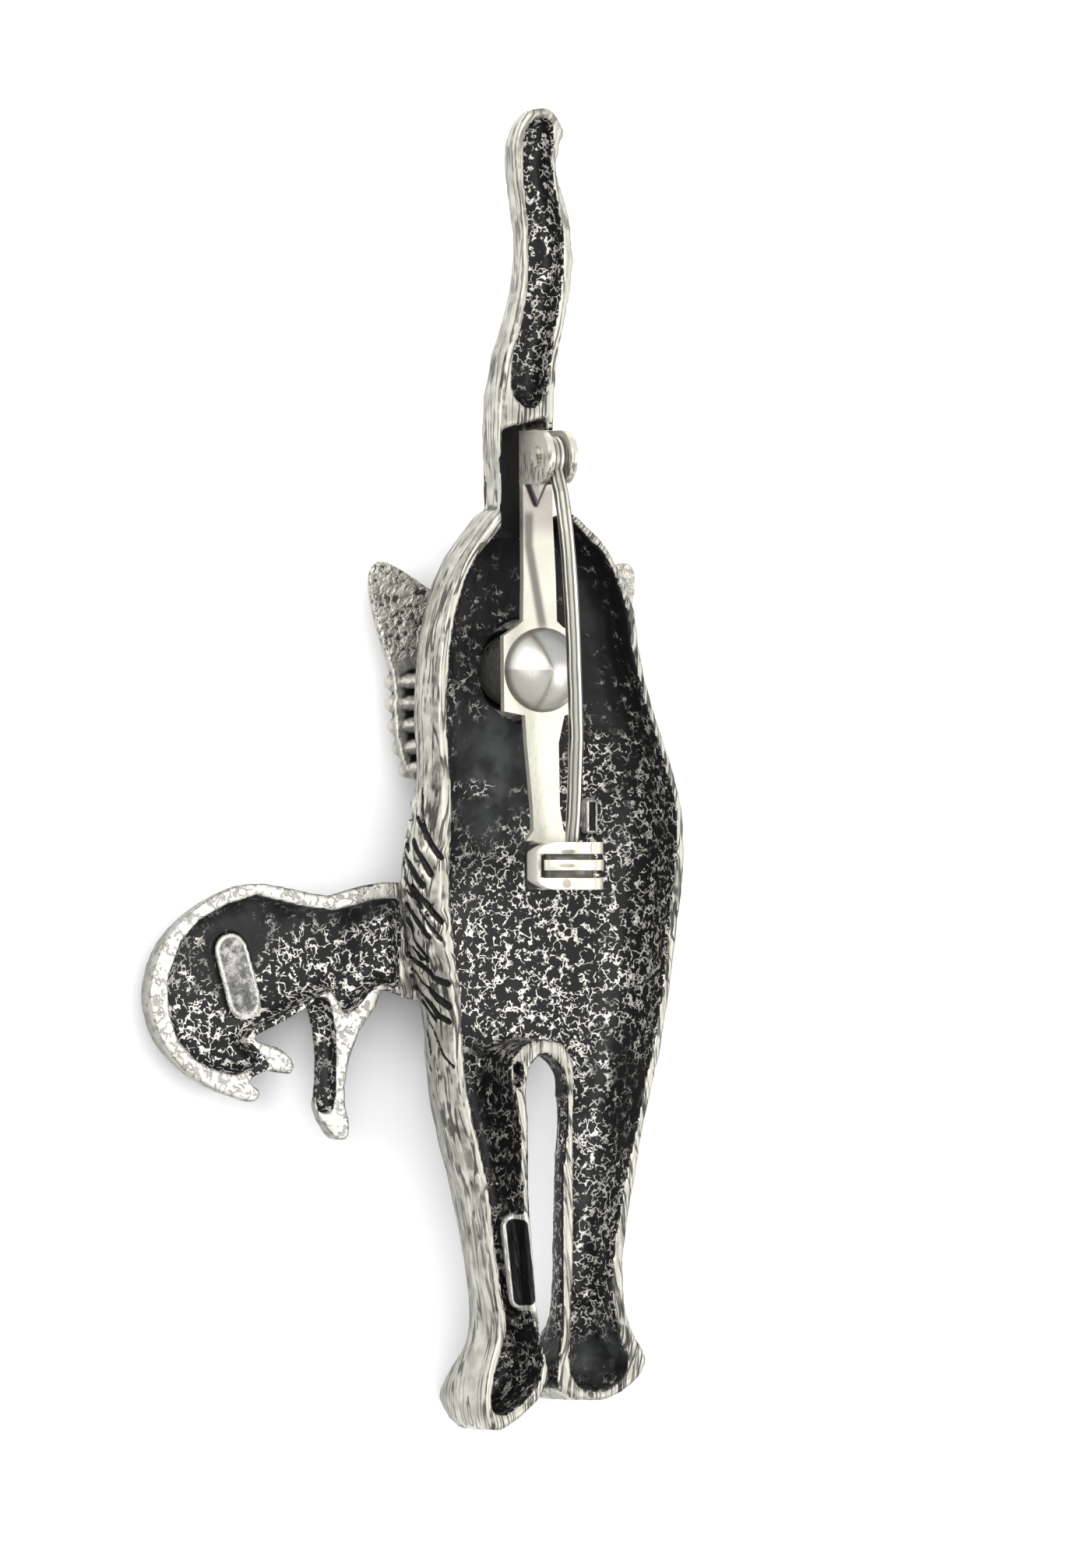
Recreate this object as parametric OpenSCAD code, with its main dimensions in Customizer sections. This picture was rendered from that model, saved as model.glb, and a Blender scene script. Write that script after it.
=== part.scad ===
// Cat and kitten brooch lying face down: hollow cast metal with a riveted pin back.
// Working frame: X = 0 and Y = 0 on the rivet, Z = 0 in the plane of the casting's rim.
// Everything is moved at the end so that the origin is under the middle, on the table.

/* [Casting] */
// Height of the rim plane above the table
rim_z = 9.4; // [8:0.1:12]
// Radius of the hole that the head's post comes through
post_hole_r = 3.1; // [2.6:0.05:3.4]
// How far the hollow's floor lies below the rim round that hole
floor_at_hole = 3.65; // [3:0.05:4.2]
// Rim plane of the kitten, below the mother's rim plane
kitten_drop = 4.5; // [3.5:0.1:5.5]

/* [Head] */
// Sideways place of the head's middle
head_x = 0.15; // [0:0.01:1.2]
// Back of the head, below the rim plane
head_back = 6; // [5.8:0.05:6.6]
// Radius of the post behind the head
post_r = 2.2; // [1.8:0.05:2.6]

/* [Pin back] */
// Sideways place of the rivet and of the bar's middle there
bar_x = 0.56; // [0.3:0.01:0.8]
// Upper face of the bar, below the rim plane
bar_drop = 1.2; // [0.8:0.05:1.6]
// Thickness of the bar's sheet
bar_t = 0.5; // [0.4:0.05:0.7]
// Radius of the rivet's domed head
dome_r = 2.56; // [2.2:0.02:2.8]
// Height of the rivet's dome
dome_h = 1.5; // [1:0.05:1.8]
// Radius of the rivet's shank
shank_r = 1.2; // [1:0.05:1.4]

/* [Stem and hinge] */
// Radius of the stem's wire
stem_r = 0.45; // [0.35:0.01:0.5]
// Radius of the hinge pin
hinge_r = 0.4; // [0.3:0.01:0.45]
// Place of the hinge pin along the bar
hinge_y = 12.83; // [12:0.01:13.5]
// Height of the hinge pin over the rim plane
hinge_z = 0.9; // [0.6:0.05:1.2]
// Radius of the stem's eye round the hinge pin
eye_r = 1.25; // [1:0.05:1.5]

/* [Catch] */
// Outside radius of the catch's shell
catch_r = 2.3; // [2:0.05:2.5]
// Thickness of the shell
catch_t = 0.5; // [0.4:0.05:0.6]
// Sideways place of the shell's middle line
catch_x = 1.2; // [0.9:0.05:1.5]
// Near end of the shell along the bar
catch_y = -10.39; // [-11:0.01:-10]
// Length of the shell
catch_len = 2.86; // [2.4:0.02:3.2]
// Width of the slot that the lever runs in
slot_w = 1.46; // [1.2:0.02:1.6]

/* [Hidden] */
$fn = 48;
// The box's middle in the working frame, and the rim's height, bring the origin under the middle.
mid_x = -7.03;
mid_y = -5.975;
bar_z = -bar_drop;
under_bar = bar_z - bar_t;
catch_z = under_bar + catch_r;
gap = 0.02;
// Gap between shank and bore, and between hinge pin and eye
fit = 0.05;
// The post starts this far inside the head, and its bore ends this far above the head's back
post_foot = 0.4;
bore_floor = 0.2;
far = 60;
PEWTER = [0.42, 0.42, 0.40];
NICKEL = [0.82, 0.80, 0.75];

module placed() translate([-mid_x, -mid_y, rim_z]) children();

// Small functions
// A power that keeps the sign
function spow(v, p) = sign(v) * pow(abs(v), p);
// Four-point smooth curve through the rows of a table, at row i and fraction f
function rowat(t, i) = t[max(0, min(len(t) - 1, i))];
function smooth(t, i, f) =
    let (a = rowat(t, i - 1), b = rowat(t, i), c = rowat(t, i + 1), d = rowat(t, i + 2))
    b + 0.5 * f * ((c - a) + f * ((2 * a - 5 * b + 4 * c - d) + f * (3 * (b - c) + d - a)));
function refined(t, n) = concat(
    [for (i = [0:len(t) - 2], k = [0:n - 1]) smooth(t, i, k / n)], [t[len(t) - 1]]);
// The same, round a closed ring
function ringat(t, i) = t[(i + len(t)) % len(t)];
function ring_refined(t, n) = [for (i = [0:len(t) - 1], k = [0:n - 1])
    let (a = ringat(t, i - 1), b = t[i], c = ringat(t, i + 1), d = ringat(t, i + 2), f = k / n)
    b + 0.5 * f * ((c - a) + f * ((2 * a - 5 * b + 4 * c - d) + f * (3 * (b - c) + d - a)))];

// Skin over a list of closed sections with the same number of points
module skin(sections) {
    n = len(sections[0]);
    m = len(sections);
    points = [for (s = sections, p = s) p];
    sides = [for (i = [0:m - 2], k = [0:n - 1]) let (j = (k + 1) % n)
        each [[i * n + k, i * n + j, (i + 1) * n + j], [i * n + k, (i + 1) * n + j, (i + 1) * n + k]]];
    polyhedron(points, concat(sides,
        [[for (k = [n - 1:-1:0]) k]], [[for (k = [0:n - 1]) (m - 1) * n + k]]), convexity = 12);
}

// Outer section of a limb: a flat back from xl to xr, sides that swell by bl and br, a round front
steps = 8;
zwide = 0.28;
function hull_section(y, xl, xr, bl, br, d, p) =
    let (zc = zwide * d, l = xl - bl, r = xr + br, xc = (l + r) / 2, a = (r - l) / 2, h = d - zc)
    concat([[xl, y, 0], [xl - 0.7 * bl, y, -0.45 * zc]],
        [for (i = [0:2 * steps]) let (t = 90 * i / steps)
            [xc - a * spow(cos(t), 2 / p), y, -zc - h * spow(sin(t), 2 / p)]],
        [[xr + 0.7 * br, y, -0.45 * zc], [xr, y, 0]]);
// Section of the hollow: open above the rim plane, flat sides, a rounded floor
hollow_steps = 6;
function hollow_section(y, xl, xr, d, p) =
    let (xc = (xl + xr) / 2, a = (xr - xl) / 2)
    concat([[xl, y, 1]],
        [for (i = [0:2 * hollow_steps]) let (t = 90 * i / hollow_steps)
            [xc - a * spow(cos(t), 2 / p), y, -d * spow(sin(t), 2 / (0.8 * p))]],
        [[xr, y, 1]]);

// Tables: one row per station
// y, rim left x, rim right x, swell left, swell right, depth
BODY = [
    [10.0, -1.9, 0.9, 0.2, 0.0, 3.2],
    [9.5, -2.8, 1.9, 0.35, 0.1, 4.2],
    [9.02, -3.2, 2.57, 0.45, 0.2, 4.6],
    [7.99, -3.96, 3.71, 0.5, 0.3, 5.1],
    [6.82, -4.85, 4.65, 0.45, 0.3, 5.4],
    [5.41, -5.62, 5.38, 0.4, 0.3, 5.6],
    [3.52, -6.26, 6.16, 0.4, 0.3, 5.8],
    [1.41, -6.65, 6.43, 0.45, 0.3, 5.8],
    [-0.94, -6.83, 6.93, 0.5, 0.3, 5.8],
    [-3.29, -6.85, 7.71, 0.5, 0.3, 5.9],
    [-5.64, -6.67, 8.57, 0.55, 0.3, 5.8],
    [-8.15, -6.55, 9.24, 0.9, 0.3, 5.8],
    [-10.34, -6.62, 9.45, 1.2, 0.4, 6.7],
    [-12.69, -6.72, 9.35, 1.28, 0.4, 7.0],
    [-15.04, -6.58, 9.03, 1.2, 0.4, 7.0],
    [-17.39, -6.25, 8.75, 1.05, 0.4, 7.0],
    [-19.74, -5.94, 8.42, 0.8, 0.4, 7.0],
    [-22.09, -5.88, 8.02, 0.5, 0.4, 6.9],
    [-24.3, -5.78, 7.5, 0.52, 0.4, 6.6],
    [-25.9, -4.5, 6.1, 0.3, 0.3, 5.2],
];
// y, rim left x, rim right x, swell left, swell right, depth
LEFT_LEG = [
    [-20.7, -5.4, -0.4, 0.2, 0, 5.6],
    [-23.0, -5.75, -0.85, 0.4, 0.3, 6.3],
    [-25.4, -5.55, -1.00, 0.55, 0.5, 6.4],
    [-27.7, -4.96, -1.05, 0.62, 0.6, 6.3],
    [-30.1, -4.32, -1.08, 0.62, 0.65, 6.1],
    [-32.4, -3.93, -0.95, 0.45, 0.55, 5.8],
    [-34.8, -3.65, -0.72, 0.3, 0.45, 5.4],
    [-37.1, -3.28, -0.52, 0.3, 0.4, 5.4],
    [-39.0, -2.90, -0.35, 0.3, 0.3, 5.8],
    [-40.4, -2.97, -0.05, 0.25, 0.15, 6.2],
    [-41.6, -3.38, 0.31, 0.2, 0.1, 7.2],
    [-42.8, -3.71, 0.40, 0.1, 0.1, 8.8],
    [-44.1, -3.85, -0.30, 0, 0.1, 9.45],
    [-45.2, -3.72, -1.60, 0, 0.2, 7.5],
    [-45.85, -3.45, -2.7, 0, 0.1, 5.2],
];
RIGHT_LEG = [
    [-20.7, 0.6, 7.9, 0, 0.1, 5.6],
    [-23.0, 1.10, 7.78, -0.6, 0.3, 6.0],
    [-25.4, 1.50, 7.24, -0.75, 0.35, 5.4],
    [-27.7, 1.45, 6.68, -0.8, 0.35, 5.0],
    [-30.1, 1.20, 6.27, -0.85, 0.3, 4.8],
    [-32.4, 1.10, 5.79, -0.85, 0.3, 4.7],
    [-34.8, 1.13, 5.45, -0.85, 0.3, 4.8],
    [-37.1, 1.15, 5.34, -0.9, 0.3, 5.0],
    [-39.0, 1.13, 5.62, -0.95, 0.3, 5.7],
    [-40.4, 1.10, 6.25, -0.8, 0.3, 7.2],
    [-41.6, 1.02, 6.89, -0.2, 0.3, 8.8],
    [-42.8, 0.92, 6.44, 0.1, 0.3, 9.4],
    [-43.6, 1.25, 5.34, 0.2, 0.2, 8.9],
    [-44.1, 2.1, 4.3, 0.2, 0.2, 7.2],
];
TAIL = [
    [33.9, -0.35, 0.30, 0, 0, 0.8],
    [33.7, -0.85, 0.80, 0.05, 0, 1.4],
    [33.25, -1.2, 1.15, 0.1, 0, 2.0],
    [32.6, -1.48, 1.45, 0.15, 0, 2.3],
    [31.7, -1.68, 1.22, 0.2, 0, 2.6],
    [30.6, -1.66, 0.95, 0.2, 0, 2.7],
    [29.5, -1.58, 1.10, 0.2, 0, 2.7],
    [28.15, -1.42, 1.61, 0.15, 0, 2.7],
    [26.41, -1.28, 1.97, 0.1, 0, 2.6],
    [24.68, -1.26, 2.08, 0.1, 0, 2.6],
    [22.8, -1.40, 1.88, 0.15, 0, 2.8],
    [20.87, -1.80, 1.44, 0.2, 0, 3.0],
    [18.8, -2.38, 1.04, 0.25, 0, 3.3],
    [16.5, -2.78, 0.85, 0.2, 0, 3.6],
    [14.24, -2.95, 0.78, 0.1, 0, 3.8],
    [12.17, -2.85, 0.78, 0.05, 0, 4.0],
    [10.34, -2.75, 0.80, 0.05, 0, 4.1],
    [8.2, -2.65, 1.0, 0.05, 0, 4.2],
];
// y, left x, right x, depth of the hollow
BODY_HOLLOW = [
    [9.2, -2.2, 1.6, 0.7],
    [8.75, -2.55, 2.3, 2.2],
    [8.0, -3.2, 3.0, 3.0],
    [6.82, -4.28, 4.2, 3.5],
    [5.41, -5.05, 4.95, floor_at_hole],
    [3.52, -5.69, 5.6, floor_at_hole],
    [1.41, -6.08, 5.88, floor_at_hole],
    [-0.94, -6.26, 6.5, floor_at_hole],
    [-3.29, -6.28, 7.28, 3.75],
    [-5.64, -6.10, 8.12, 4.2],
    [-7.99, -5.98, 8.82, 4.8],
    [-10.34, -6.05, 8.95, 5.0],
    [-12.69, -6.15, 8.7, 5.0],
    [-15.04, -6.01, 8.4, 5.0],
    [-17.39, -5.68, 8.2, 5.0],
    [-19.74, -5.37, 7.9, 4.9],
    [-22.09, -5.31, 7.5, 4.7],
    [-24.44, -5.13, 7.0, 4.3],
];
LEFT_HOLLOW = [
    [-21.5, -5.31, -2.0, 4.5],
    [-23.0, -5.25, -2.1, 4.4],
    [-25.4, -4.98, -1.85, 4.0],
    [-27.7, -4.40, -1.5, 3.5],
    [-30.1, -3.78, -1.42, 3.0],
    [-32.4, -3.38, -1.3, 2.6],
    [-34.8, -3.10, -1.05, 2.3],
    [-37.1, -2.73, -0.87, 2.3],
    [-39.0, -2.35, -0.70, 2.5],
    [-40.4, -2.40, -0.35, 2.9],
    [-41.6, -2.84, 0.00, 3.3],
    [-42.8, -3.20, -0.12, 3.5],
    [-43.9, -3.32, -1.05, 3.4],
    [-44.6, -3.25, -1.9, 2.8],
    [-44.9, -3.1, -2.4, 1.4],
];
RIGHT_HOLLOW = [
    [-21.5, 2.2, 7.5, 4.5],
    [-23.0, 2.25, 7.3, 4.4],
    [-25.4, 2.12, 6.75, 4.0],
    [-27.7, 2.08, 6.2, 3.6],
    [-30.1, 2.08, 5.67, 3.3],
    [-32.4, 2.12, 5.17, 3.1],
    [-34.8, 2.10, 4.75, 3.0],
    [-37.1, 2.05, 4.55, 2.9],
    [-39.0, 1.95, 4.82, 3.1],
    [-40.4, 1.88, 5.15, 3.5],
    [-41.6, 1.87, 5.72, 3.8],
    [-42.4, 1.9, 5.6, 3.7],
    [-43.2, 2.3, 4.9, 2.8],
    [-43.5, 2.9, 4.3, 1.4],
];
TAIL_HOLLOW = [
    [33.3, -0.35, 0.35, 0.5],
    [32.9, -0.85, 0.60, 1.1],
    [31.7, -1.20, 0.70, 1.5],
    [30.6, -1.22, 0.55, 1.6],
    [29.5, -1.14, 0.66, 1.6],
    [28.15, -0.98, 0.98, 1.6],
    [26.41, -0.85, 1.30, 1.6],
    [24.68, -0.83, 1.38, 1.6],
    [22.8, -0.95, 1.15, 1.7],
    [20.87, -1.32, 0.85, 1.8],
    [18.8, -1.92, 0.45, 1.9],
    [17.2, -2.00, 0.28, 1.9],
    [16.4, -1.75, 0.10, 1.5],
    [15.95, -1.2, -0.3, 0.6],
];

function backwards(t) = [for (i = [len(t) - 1:-1:0]) t[i]];
// p is how square the sections are, and n how many sections stand for each row
module limb(t, p, n = 1) skin(backwards([for (r = refined(t, n))
    hull_section(r[0], r[1], r[2], r[3], r[4], r[5], p)]));
module limb_hollow(t, p = 4) skin(backwards([for (r = t)
    hollow_section(r[0], r[1], r[2], r[3], p)]));

// Kitten: one closed ring, each point with the foot it domes towards
// x, y, foot x, foot y (the outline runs round the back, under the head and along the belly)
KITTEN = [
    [-7.0, -12.9, -7.6, -15.8],
    [-9.6, -12.95, -9.6, -15.9],
    [-12.0, -13.6, -12.0, -16.4],
    [-14.2, -13.25, -14.2, -16.6],
    [-16.4, -12.85, -16.2, -16.3],
    [-18.4, -13.05, -17.6, -16.2],
    [-20.2, -13.9, -18.8, -16.7],
    [-21.9, -15.15, -19.7, -17.6],
    [-23.2, -16.8, -20.2, -18.6],
    [-23.85, -18.75, -20.4, -19.6],
    [-23.8, -20.6, -20.4, -20.6],
    [-23.05, -22.5, -19.9, -21.4],
    [-21.8, -24.0, -19.2, -21.9],
    [-20.1, -25.1, -18.4, -22.4],
    [-18.3, -25.8, -17.5, -23.2],
    [-17.05, -26.05, -16.7, -23.9],
    [-16.6, -25.4, -16.3, -23.9],
    [-17.4, -24.75, -16.7, -23.6],
    [-16.0, -24.15, -15.9, -23.4],
    [-14.6, -24.35, -15.0, -23.5],
    [-14.5, -23.5, -15.4, -22.9],
    [-15.5, -22.75, -16.4, -21.8],
    [-17.1, -22.3, -18.3, -20.6],
    [-16.3, -21.75, -18.0, -18.9],
    [-14.9, -21.15, -16.4, -17.8],
    [-13.6, -20.45, -14.3, -17.3],
    [-12.0, -19.6, -12.2, -17.0],
    [-10.0, -19.2, -10.0, -16.8],
    [-7.9, -19.5, -8.2, -16.4],
    [-5.6, -20.0, -7.0, -16.2],
    [-4.4, -18.0, -6.2, -16.1],
    [-4.6, -14.6, -6.2, -15.9],
];
kitten_depth = rim_z - kitten_drop;
// Ring k of n of a dome: the outline drawn in towards its feet while it goes down
function dome_ring(ring, s, z) = [for (r = ring)
    [r[2] + (r[0] - r[2]) * s, r[3] + (r[1] - r[3]) * s, z]];
module relief(ring, back, depth, n, p = 0.6, least = 0.2) skin([
    for (k = [0:n]) let (u = 90 * k / n)
        dome_ring(ring, max(least, pow(cos(u), p)), back - depth * pow(sin(u), 1 / 0.8))]);
// The kitten's hollow, from the mother's flank round to the muzzle
// x and y on the back's edge, x and y on the belly's edge, depth
KITTEN_HOLLOW = [
    [-7.45, -13.8, -7.45, -19.2, 1.5],
    [-8.6, -13.85, -8.6, -18.9, 1.8],
    [-9.3, -13.95, -9.4, -19.4, 1.9],
    [-10.1, -14.15, -10.2, -20.3, 1.9],
    [-10.9, -14.35, -11.0, -20.8, 1.9],
    [-11.85, -14.55, -11.9, -19.3, 2.0],
    [-14.0, -14.25, -13.75, -20.1, 2.0],
    [-16.9, -13.6, -15.8, -21.1, 2.0],
    [-18.75, -14.1, -17.2, -21.75, 2.0],
    [-20.5, -15.0, -17.6, -22.2, 2.0],
    [-21.9, -16.4, -17.5, -22.6, 2.0],
    [-22.7, -18.6, -17.15, -22.95, 1.9],
    [-22.6, -20.7, -16.85, -23.3, 1.8],
    [-22.0, -22.3, -16.7, -23.6, 1.7],
    [-20.85, -23.5, -16.8, -23.8, 1.5],
    [-19.3, -24.15, -17.0, -23.95, 1.2],
    [-18.3, -24.35, -17.3, -24.1, 0.6],
];
// Section of that hollow between two points of its edge, open a little above the kitten's rim plane
over = 0.3;
function row_section(a, b, d) =
    concat([[a[0], a[1], over]],
        [for (i = [0:2 * hollow_steps]) let (t = 90 * i / hollow_steps, f = (1 - spow(cos(t), 2 / 4)) / 2)
            [a[0] + f * (b[0] - a[0]), a[1] + f * (b[1] - a[1]), -d * spow(sin(t), 2 / 3.2)]],
        [[b[0], b[1], over]]);
module relief_hollow(t) skin(backwards([for (r = t) row_section([r[0], r[1]], [r[2], r[3]], r[4])]));

// y, left x, right x, swell, swell, depth: the kitten's two legs on the near side
KITTEN_LEG = [
    [-18.6, -13.3, -8.4, -0.2, 0, 3.0],
    [-20.3, -13.45, -9.0, -0.4, 0.1, 2.6],
    [-21.8, -13.2, -10.1, -0.5, 0.1, 2.3],
    [-23.4, -13.05, -10.7, -0.5, 0.1, 2.1],
    [-25.0, -13.1, -11.05, -0.5, 0.1, 2.0],
    [-26.3, -13.3, -11.05, -0.5, 0.1, 2.1],
    [-27.2, -12.75, -10.8, -0.3, 0.1, 2.2],
    [-28.0, -12.0, -10.75, -0.1, 0.1, 2.0],
    [-28.35, -11.65, -10.95, 0, 0, 1.4],
];
KITTEN_LEG_HOLLOW = [
    [-19.75, -13.0, -12.15, 0.7],
    [-20.4, -13.2, -11.95, 1.15],
    [-22.0, -12.95, -11.65, 1.05],
    [-24.0, -12.8, -11.65, 0.95],
    [-25.8, -12.9, -11.7, 0.85],
    [-26.7, -12.75, -11.85, 0.4],
];

module capsule(x1, y1, x2, y2, z, w, h) hull() {
    translate([x1, y1, z]) cylinder(r = w / 2, h = h, $fn = 20);
    translate([x2, y2, z]) cylinder(r = w / 2, h = h, $fn = 20);
}
// A short rounded ridge between two points, partly sunk in the wall
module ridge(a, b, r1, r2, n = 8) hull() {
    translate(a) sphere(r = r1, $fn = n);
    translate(b) sphere(r = r2, $fn = n);
}

module ridges(t, n = 8) for (r = t) ridge(r[0], r[1], r[2], r[3], n);

// Ridges of the casting: one end, the other end, radius at each
TAIL_HOOK = [[[0.95, 32.75, -0.75], [1.25, 32.35, -0.8], 0.6, 0.55]];
CROSS_RIBS = [
    [[-2.1, -38.8, -2.35], [-0.95, -39.45, -1.9], 0.4, 0.3],
    [[2.5, -38.1, -2.7], [4.5, -37.9, -2.75], 0.4, 0.4],
];
// Bare plates on the floors of the hollows: x and y of both ends, z of the foot, width, height
PLATES = [
    [-1.42, -33.6, -0.92, -37.9, -3.2, 1.4, 2.0],
    [-17.9, -16.92, -17.05, -19.93, -kitten_drop - 2.4, 2.15, 1.0],
];
// The small lug beside the catch
lug_place = [4.75, -9.9, -5.6];
lug_size = [0.8, 2.1, 1.7];
// The kitten is kept within this reach, under the mother's rim, and this far into her body
kitten_reach = 30;
kitten_under = 1.5;
kitten_overlap = 4;

// The top of the slot between the legs, x and y in the rim plane
SLOT = [
    [0.16, -23.2], [-0.26, -23.36], [-0.67, -23.8], [-0.9, -24.4], [-1.0, -25.2], [-1.03, -26.83],
    [1.5, -26.83], [1.6, -25.3], [1.5, -24.4], [1.15, -23.8], [0.65, -23.36]];
slot_foot_y = -26.83;
// Its growth towards the front: z, growth across, growth along
SLOT_LEVELS = [
    [2, 1, 1], [-0.4, 1, 1], [-1.8, 1.05, 1.02], [-3.2, 1.5, 1.06],
    [-5.1, 2.2, 1.2], [-6.45, 3, 1.33], [-9.8, 4, 1.7]];
module slot() skin([for (level = SLOT_LEVELS)
    [for (p = SLOT) [p[0] * level[1], slot_foot_y + (p[1] - slot_foot_y) * level[2], level[0]]]]);

// The arch of rim round the top of the slot, and the small pocket in its left foot
ARCH = [
    [-1.0, -26.5], [-1.65, -25.9], [-2.15, -24.7], [-2.15, -23.9], [-1.8, -23.1], [-1.2, -22.6],
    [-0.4, -22.3], [0.75, -22.3], [1.4, -22.6], [1.95, -23.4], [2.15, -24.2], [2.15, -26.5]];
ARCH_POCKET = [
    [-1.85, -23.75], [-1.4, -23.55], [-1.3, -24.7], [-1.45, -25.4], [-1.65, -25.35], [-1.88, -24.6]];
arch_pocket_depth = 1.1;
// The notch that takes the bar's hinge end
NOTCH = [[-2.7, 8.05], [-2.7, 14.45], [0.05, 15.15], [1.95, 15.15], [1.95, 8.05]];
notch_depth = 3;
// Cuts a drawn shape down from the rim plane
module deep(depth) translate([0, 0, -depth]) linear_extrude(depth + 2) children();

module casting_outer() {
    limb(BODY, 2.5, 2);
    limb(LEFT_LEG, 2, 2);
    limb(RIGHT_LEG, 2.3, 2);
    limb(TAIL, 2.4);
    ridges(TAIL_HOOK);
    intersection() {
        union() {
            relief(ring_refined(KITTEN, 2), -kitten_drop, kitten_depth, 5, 0.72);
            translate([0, 0, -kitten_drop]) limb(KITTEN_LEG, 2.4);
        }
        translate([-kitten_reach, -kitten_reach, -rim_z])
            cube([kitten_reach + kitten_overlap, kitten_reach, rim_z - kitten_under]);
    }
}
module casting_hollows() {
    difference() {
        union() {
            limb_hollow(BODY_HOLLOW);
            limb_hollow(LEFT_HOLLOW, 2.8);
            limb_hollow(RIGHT_HOLLOW, 2.8);
        }
        deep(12) polygon(ARCH);
    }
    deep(arch_pocket_depth) polygon(ARCH_POCKET);
    limb_hollow(TAIL_HOLLOW);
    translate([0, 0, -kitten_drop]) relief_hollow(KITTEN_HOLLOW);
    translate([0, 0, -kitten_drop]) limb_hollow(KITTEN_LEG_HOLLOW);
    deep(notch_depth) polygon(NOTCH);
    translate([bar_x, 0, -rim_z]) cylinder(r = post_hole_r, h = rim_z);
    slot();
}

// Raised fur locks on the flank: y at the foot and at the rim, depth of the foot below the rim
FUR = [
    [-8.1, -9.7, 2.6], [-9.3, -10.9, 2.7], [-10.45, -12.2, 2.8], [-11.6, -13.3, 2.8],
    [-12.75, -14.6, 2.8], [-13.9, -15.9, 2.8], [-15.15, -17.1, 2.7], [-16.4, -18.5, 2.7],
    [-17.85, -19.9, 2.6], [-19.3, -21.3, 2.5],
];
// A lock's ends: how far each lies inside the flank's widest line, and its radius
fur_foot_in = 0.13;
fur_foot_r = 0.31;
fur_rim_in = 0.33;
fur_rim_r = 0.23;
fur_rim_drop = 0.95;
function at_y(t, y, c) = lookup(-y, [for (r = t) [-r[0], r[c]]]);
function flank_x(y) = at_y(BODY, y, 1) - at_y(BODY, y, 3);
module fur() for (f = FUR) ridge(
    [flank_x(f[0]) + fur_foot_in, f[0], -f[2]],
    [flank_x(f[1]) + fur_rim_in, f[1], -fur_rim_drop], fur_foot_r, fur_rim_r);

// Keeps what lies above the table
module above_table() intersection() {
    children();
    translate([-far, -far, -rim_z]) cube([2 * far, 2 * far, far]);
}

module casting() color(PEWTER) above_table() union() {
    difference() {
        union() {
            casting_outer();
            fur();
        }
        casting_hollows();
    }
    for (p = PLATES) capsule(p[0], p[1], p[2], p[3], p[4], p[5], p[6]);
    ridges(CROSS_RIBS);
    translate(lug_place) cube(lug_size);
}

// Head
// Half outline of the head from crown to chin: x from the middle, y
HEAD_HALF = [
    [0, 4.2], [1.8, 4.4], [3.6, 4.5], [4.8, 4.9], [6.2, 5.75], [7.4, 6.4], [8.3, 6.6], [8.85, 6.0],
    [8.85, 4.8], [8.5, 3.2], [8.05, 1.8], [7.6, 0.5], [7.25, -0.7], [7.2, -2.4], [7.05, -4.2],
    [6.5, -5.9], [5.5, -7.0], [3.8, -7.8], [1.9, -8.2],
];
chin_y = -8.35;
// Ridges on both sides of the front: one end, the other end, radius at each
SIDE_RIDGES = [
    [[0.9, 1.6, -2.55], [4.6, 1.5, -1.9], 0.5, 0.4],
    [[4.4, 4.3, -1.2], [7.7, 6.1, -0.45], 0.42, 0.36],
    [[7.5, 2.4, -1.0], [8.1, 5.6, -0.45], 0.42, 0.36],
];
// Ridges along its middle: the nose, the forehead and the chin
MIDDLE_RIDGES = [
    [[0, -1.3, -2.7], [0, -2.4, -2.9], 0.7, 0.6],
    [[0, 3.6, -1.8], [0, 0.2, -2.5], 0.45, 0.7],
];
CHIN = [[[0, -5.25, -2.3], [0, -6.45, -1.65], 0.92, 1.12]];
// Brow, and the two ends of a muzzle pad: place, stretch, radius, sides
BROW = [[3.2, -0.2, -2.3], [1.25, 1, 0.6], 1.4, 18];
PAD = [[[1.15, -3.3, -2.72], [1.25, 1, 0.7], 1.15, 16], [[2.6, -3.6, -1.9], [1, 1, 1], 0.8, 12]];
// Cheek ribs: number, y of the first, step between them
ribs = 5;
rib_y = -0.75;
rib_step = 1.32;
head_depth = 2.75;

function mirrored(p, s) = [s * p[0], p[1], p[2]];
module form(f, s) translate(mirrored(f[0], s)) scale(f[1]) sphere(r = f[2], $fn = f[3]);
// The outline's points with the feet that they dome towards
function head_foot(p) = [p[0] * 0.35, p[1] * 0.35 - 0.6];
function head_point(p, s) = let (f = head_foot(p)) [s * p[0], p[1], s * f[0], f[1]];
function head_ring() = concat(
    [for (p = HEAD_HALF) head_point(p, -1)], [head_point([0, chin_y], 1)],
    [for (i = [len(HEAD_HALF) - 1:-1:1]) head_point(HEAD_HALF[i], 1)]);
module cheek_ribs(s) for (k = [0:ribs - 1]) let (y = rib_y - rib_step * k)
    ridge([s * 5.43, y + 0.13, 0.1], [s * (7.12 - 0.06 * k * k), y + 0.02, -0.62], 0.5, 0.56, 10);
module head_side(s) {
    cheek_ribs(s);
    hull() for (f = PAD) form(f, s);
    form(BROW, s);
    for (r = SIDE_RIDGES) ridge(mirrored(r[0], s), mirrored(r[1], s), r[2], r[3]);
}
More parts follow.
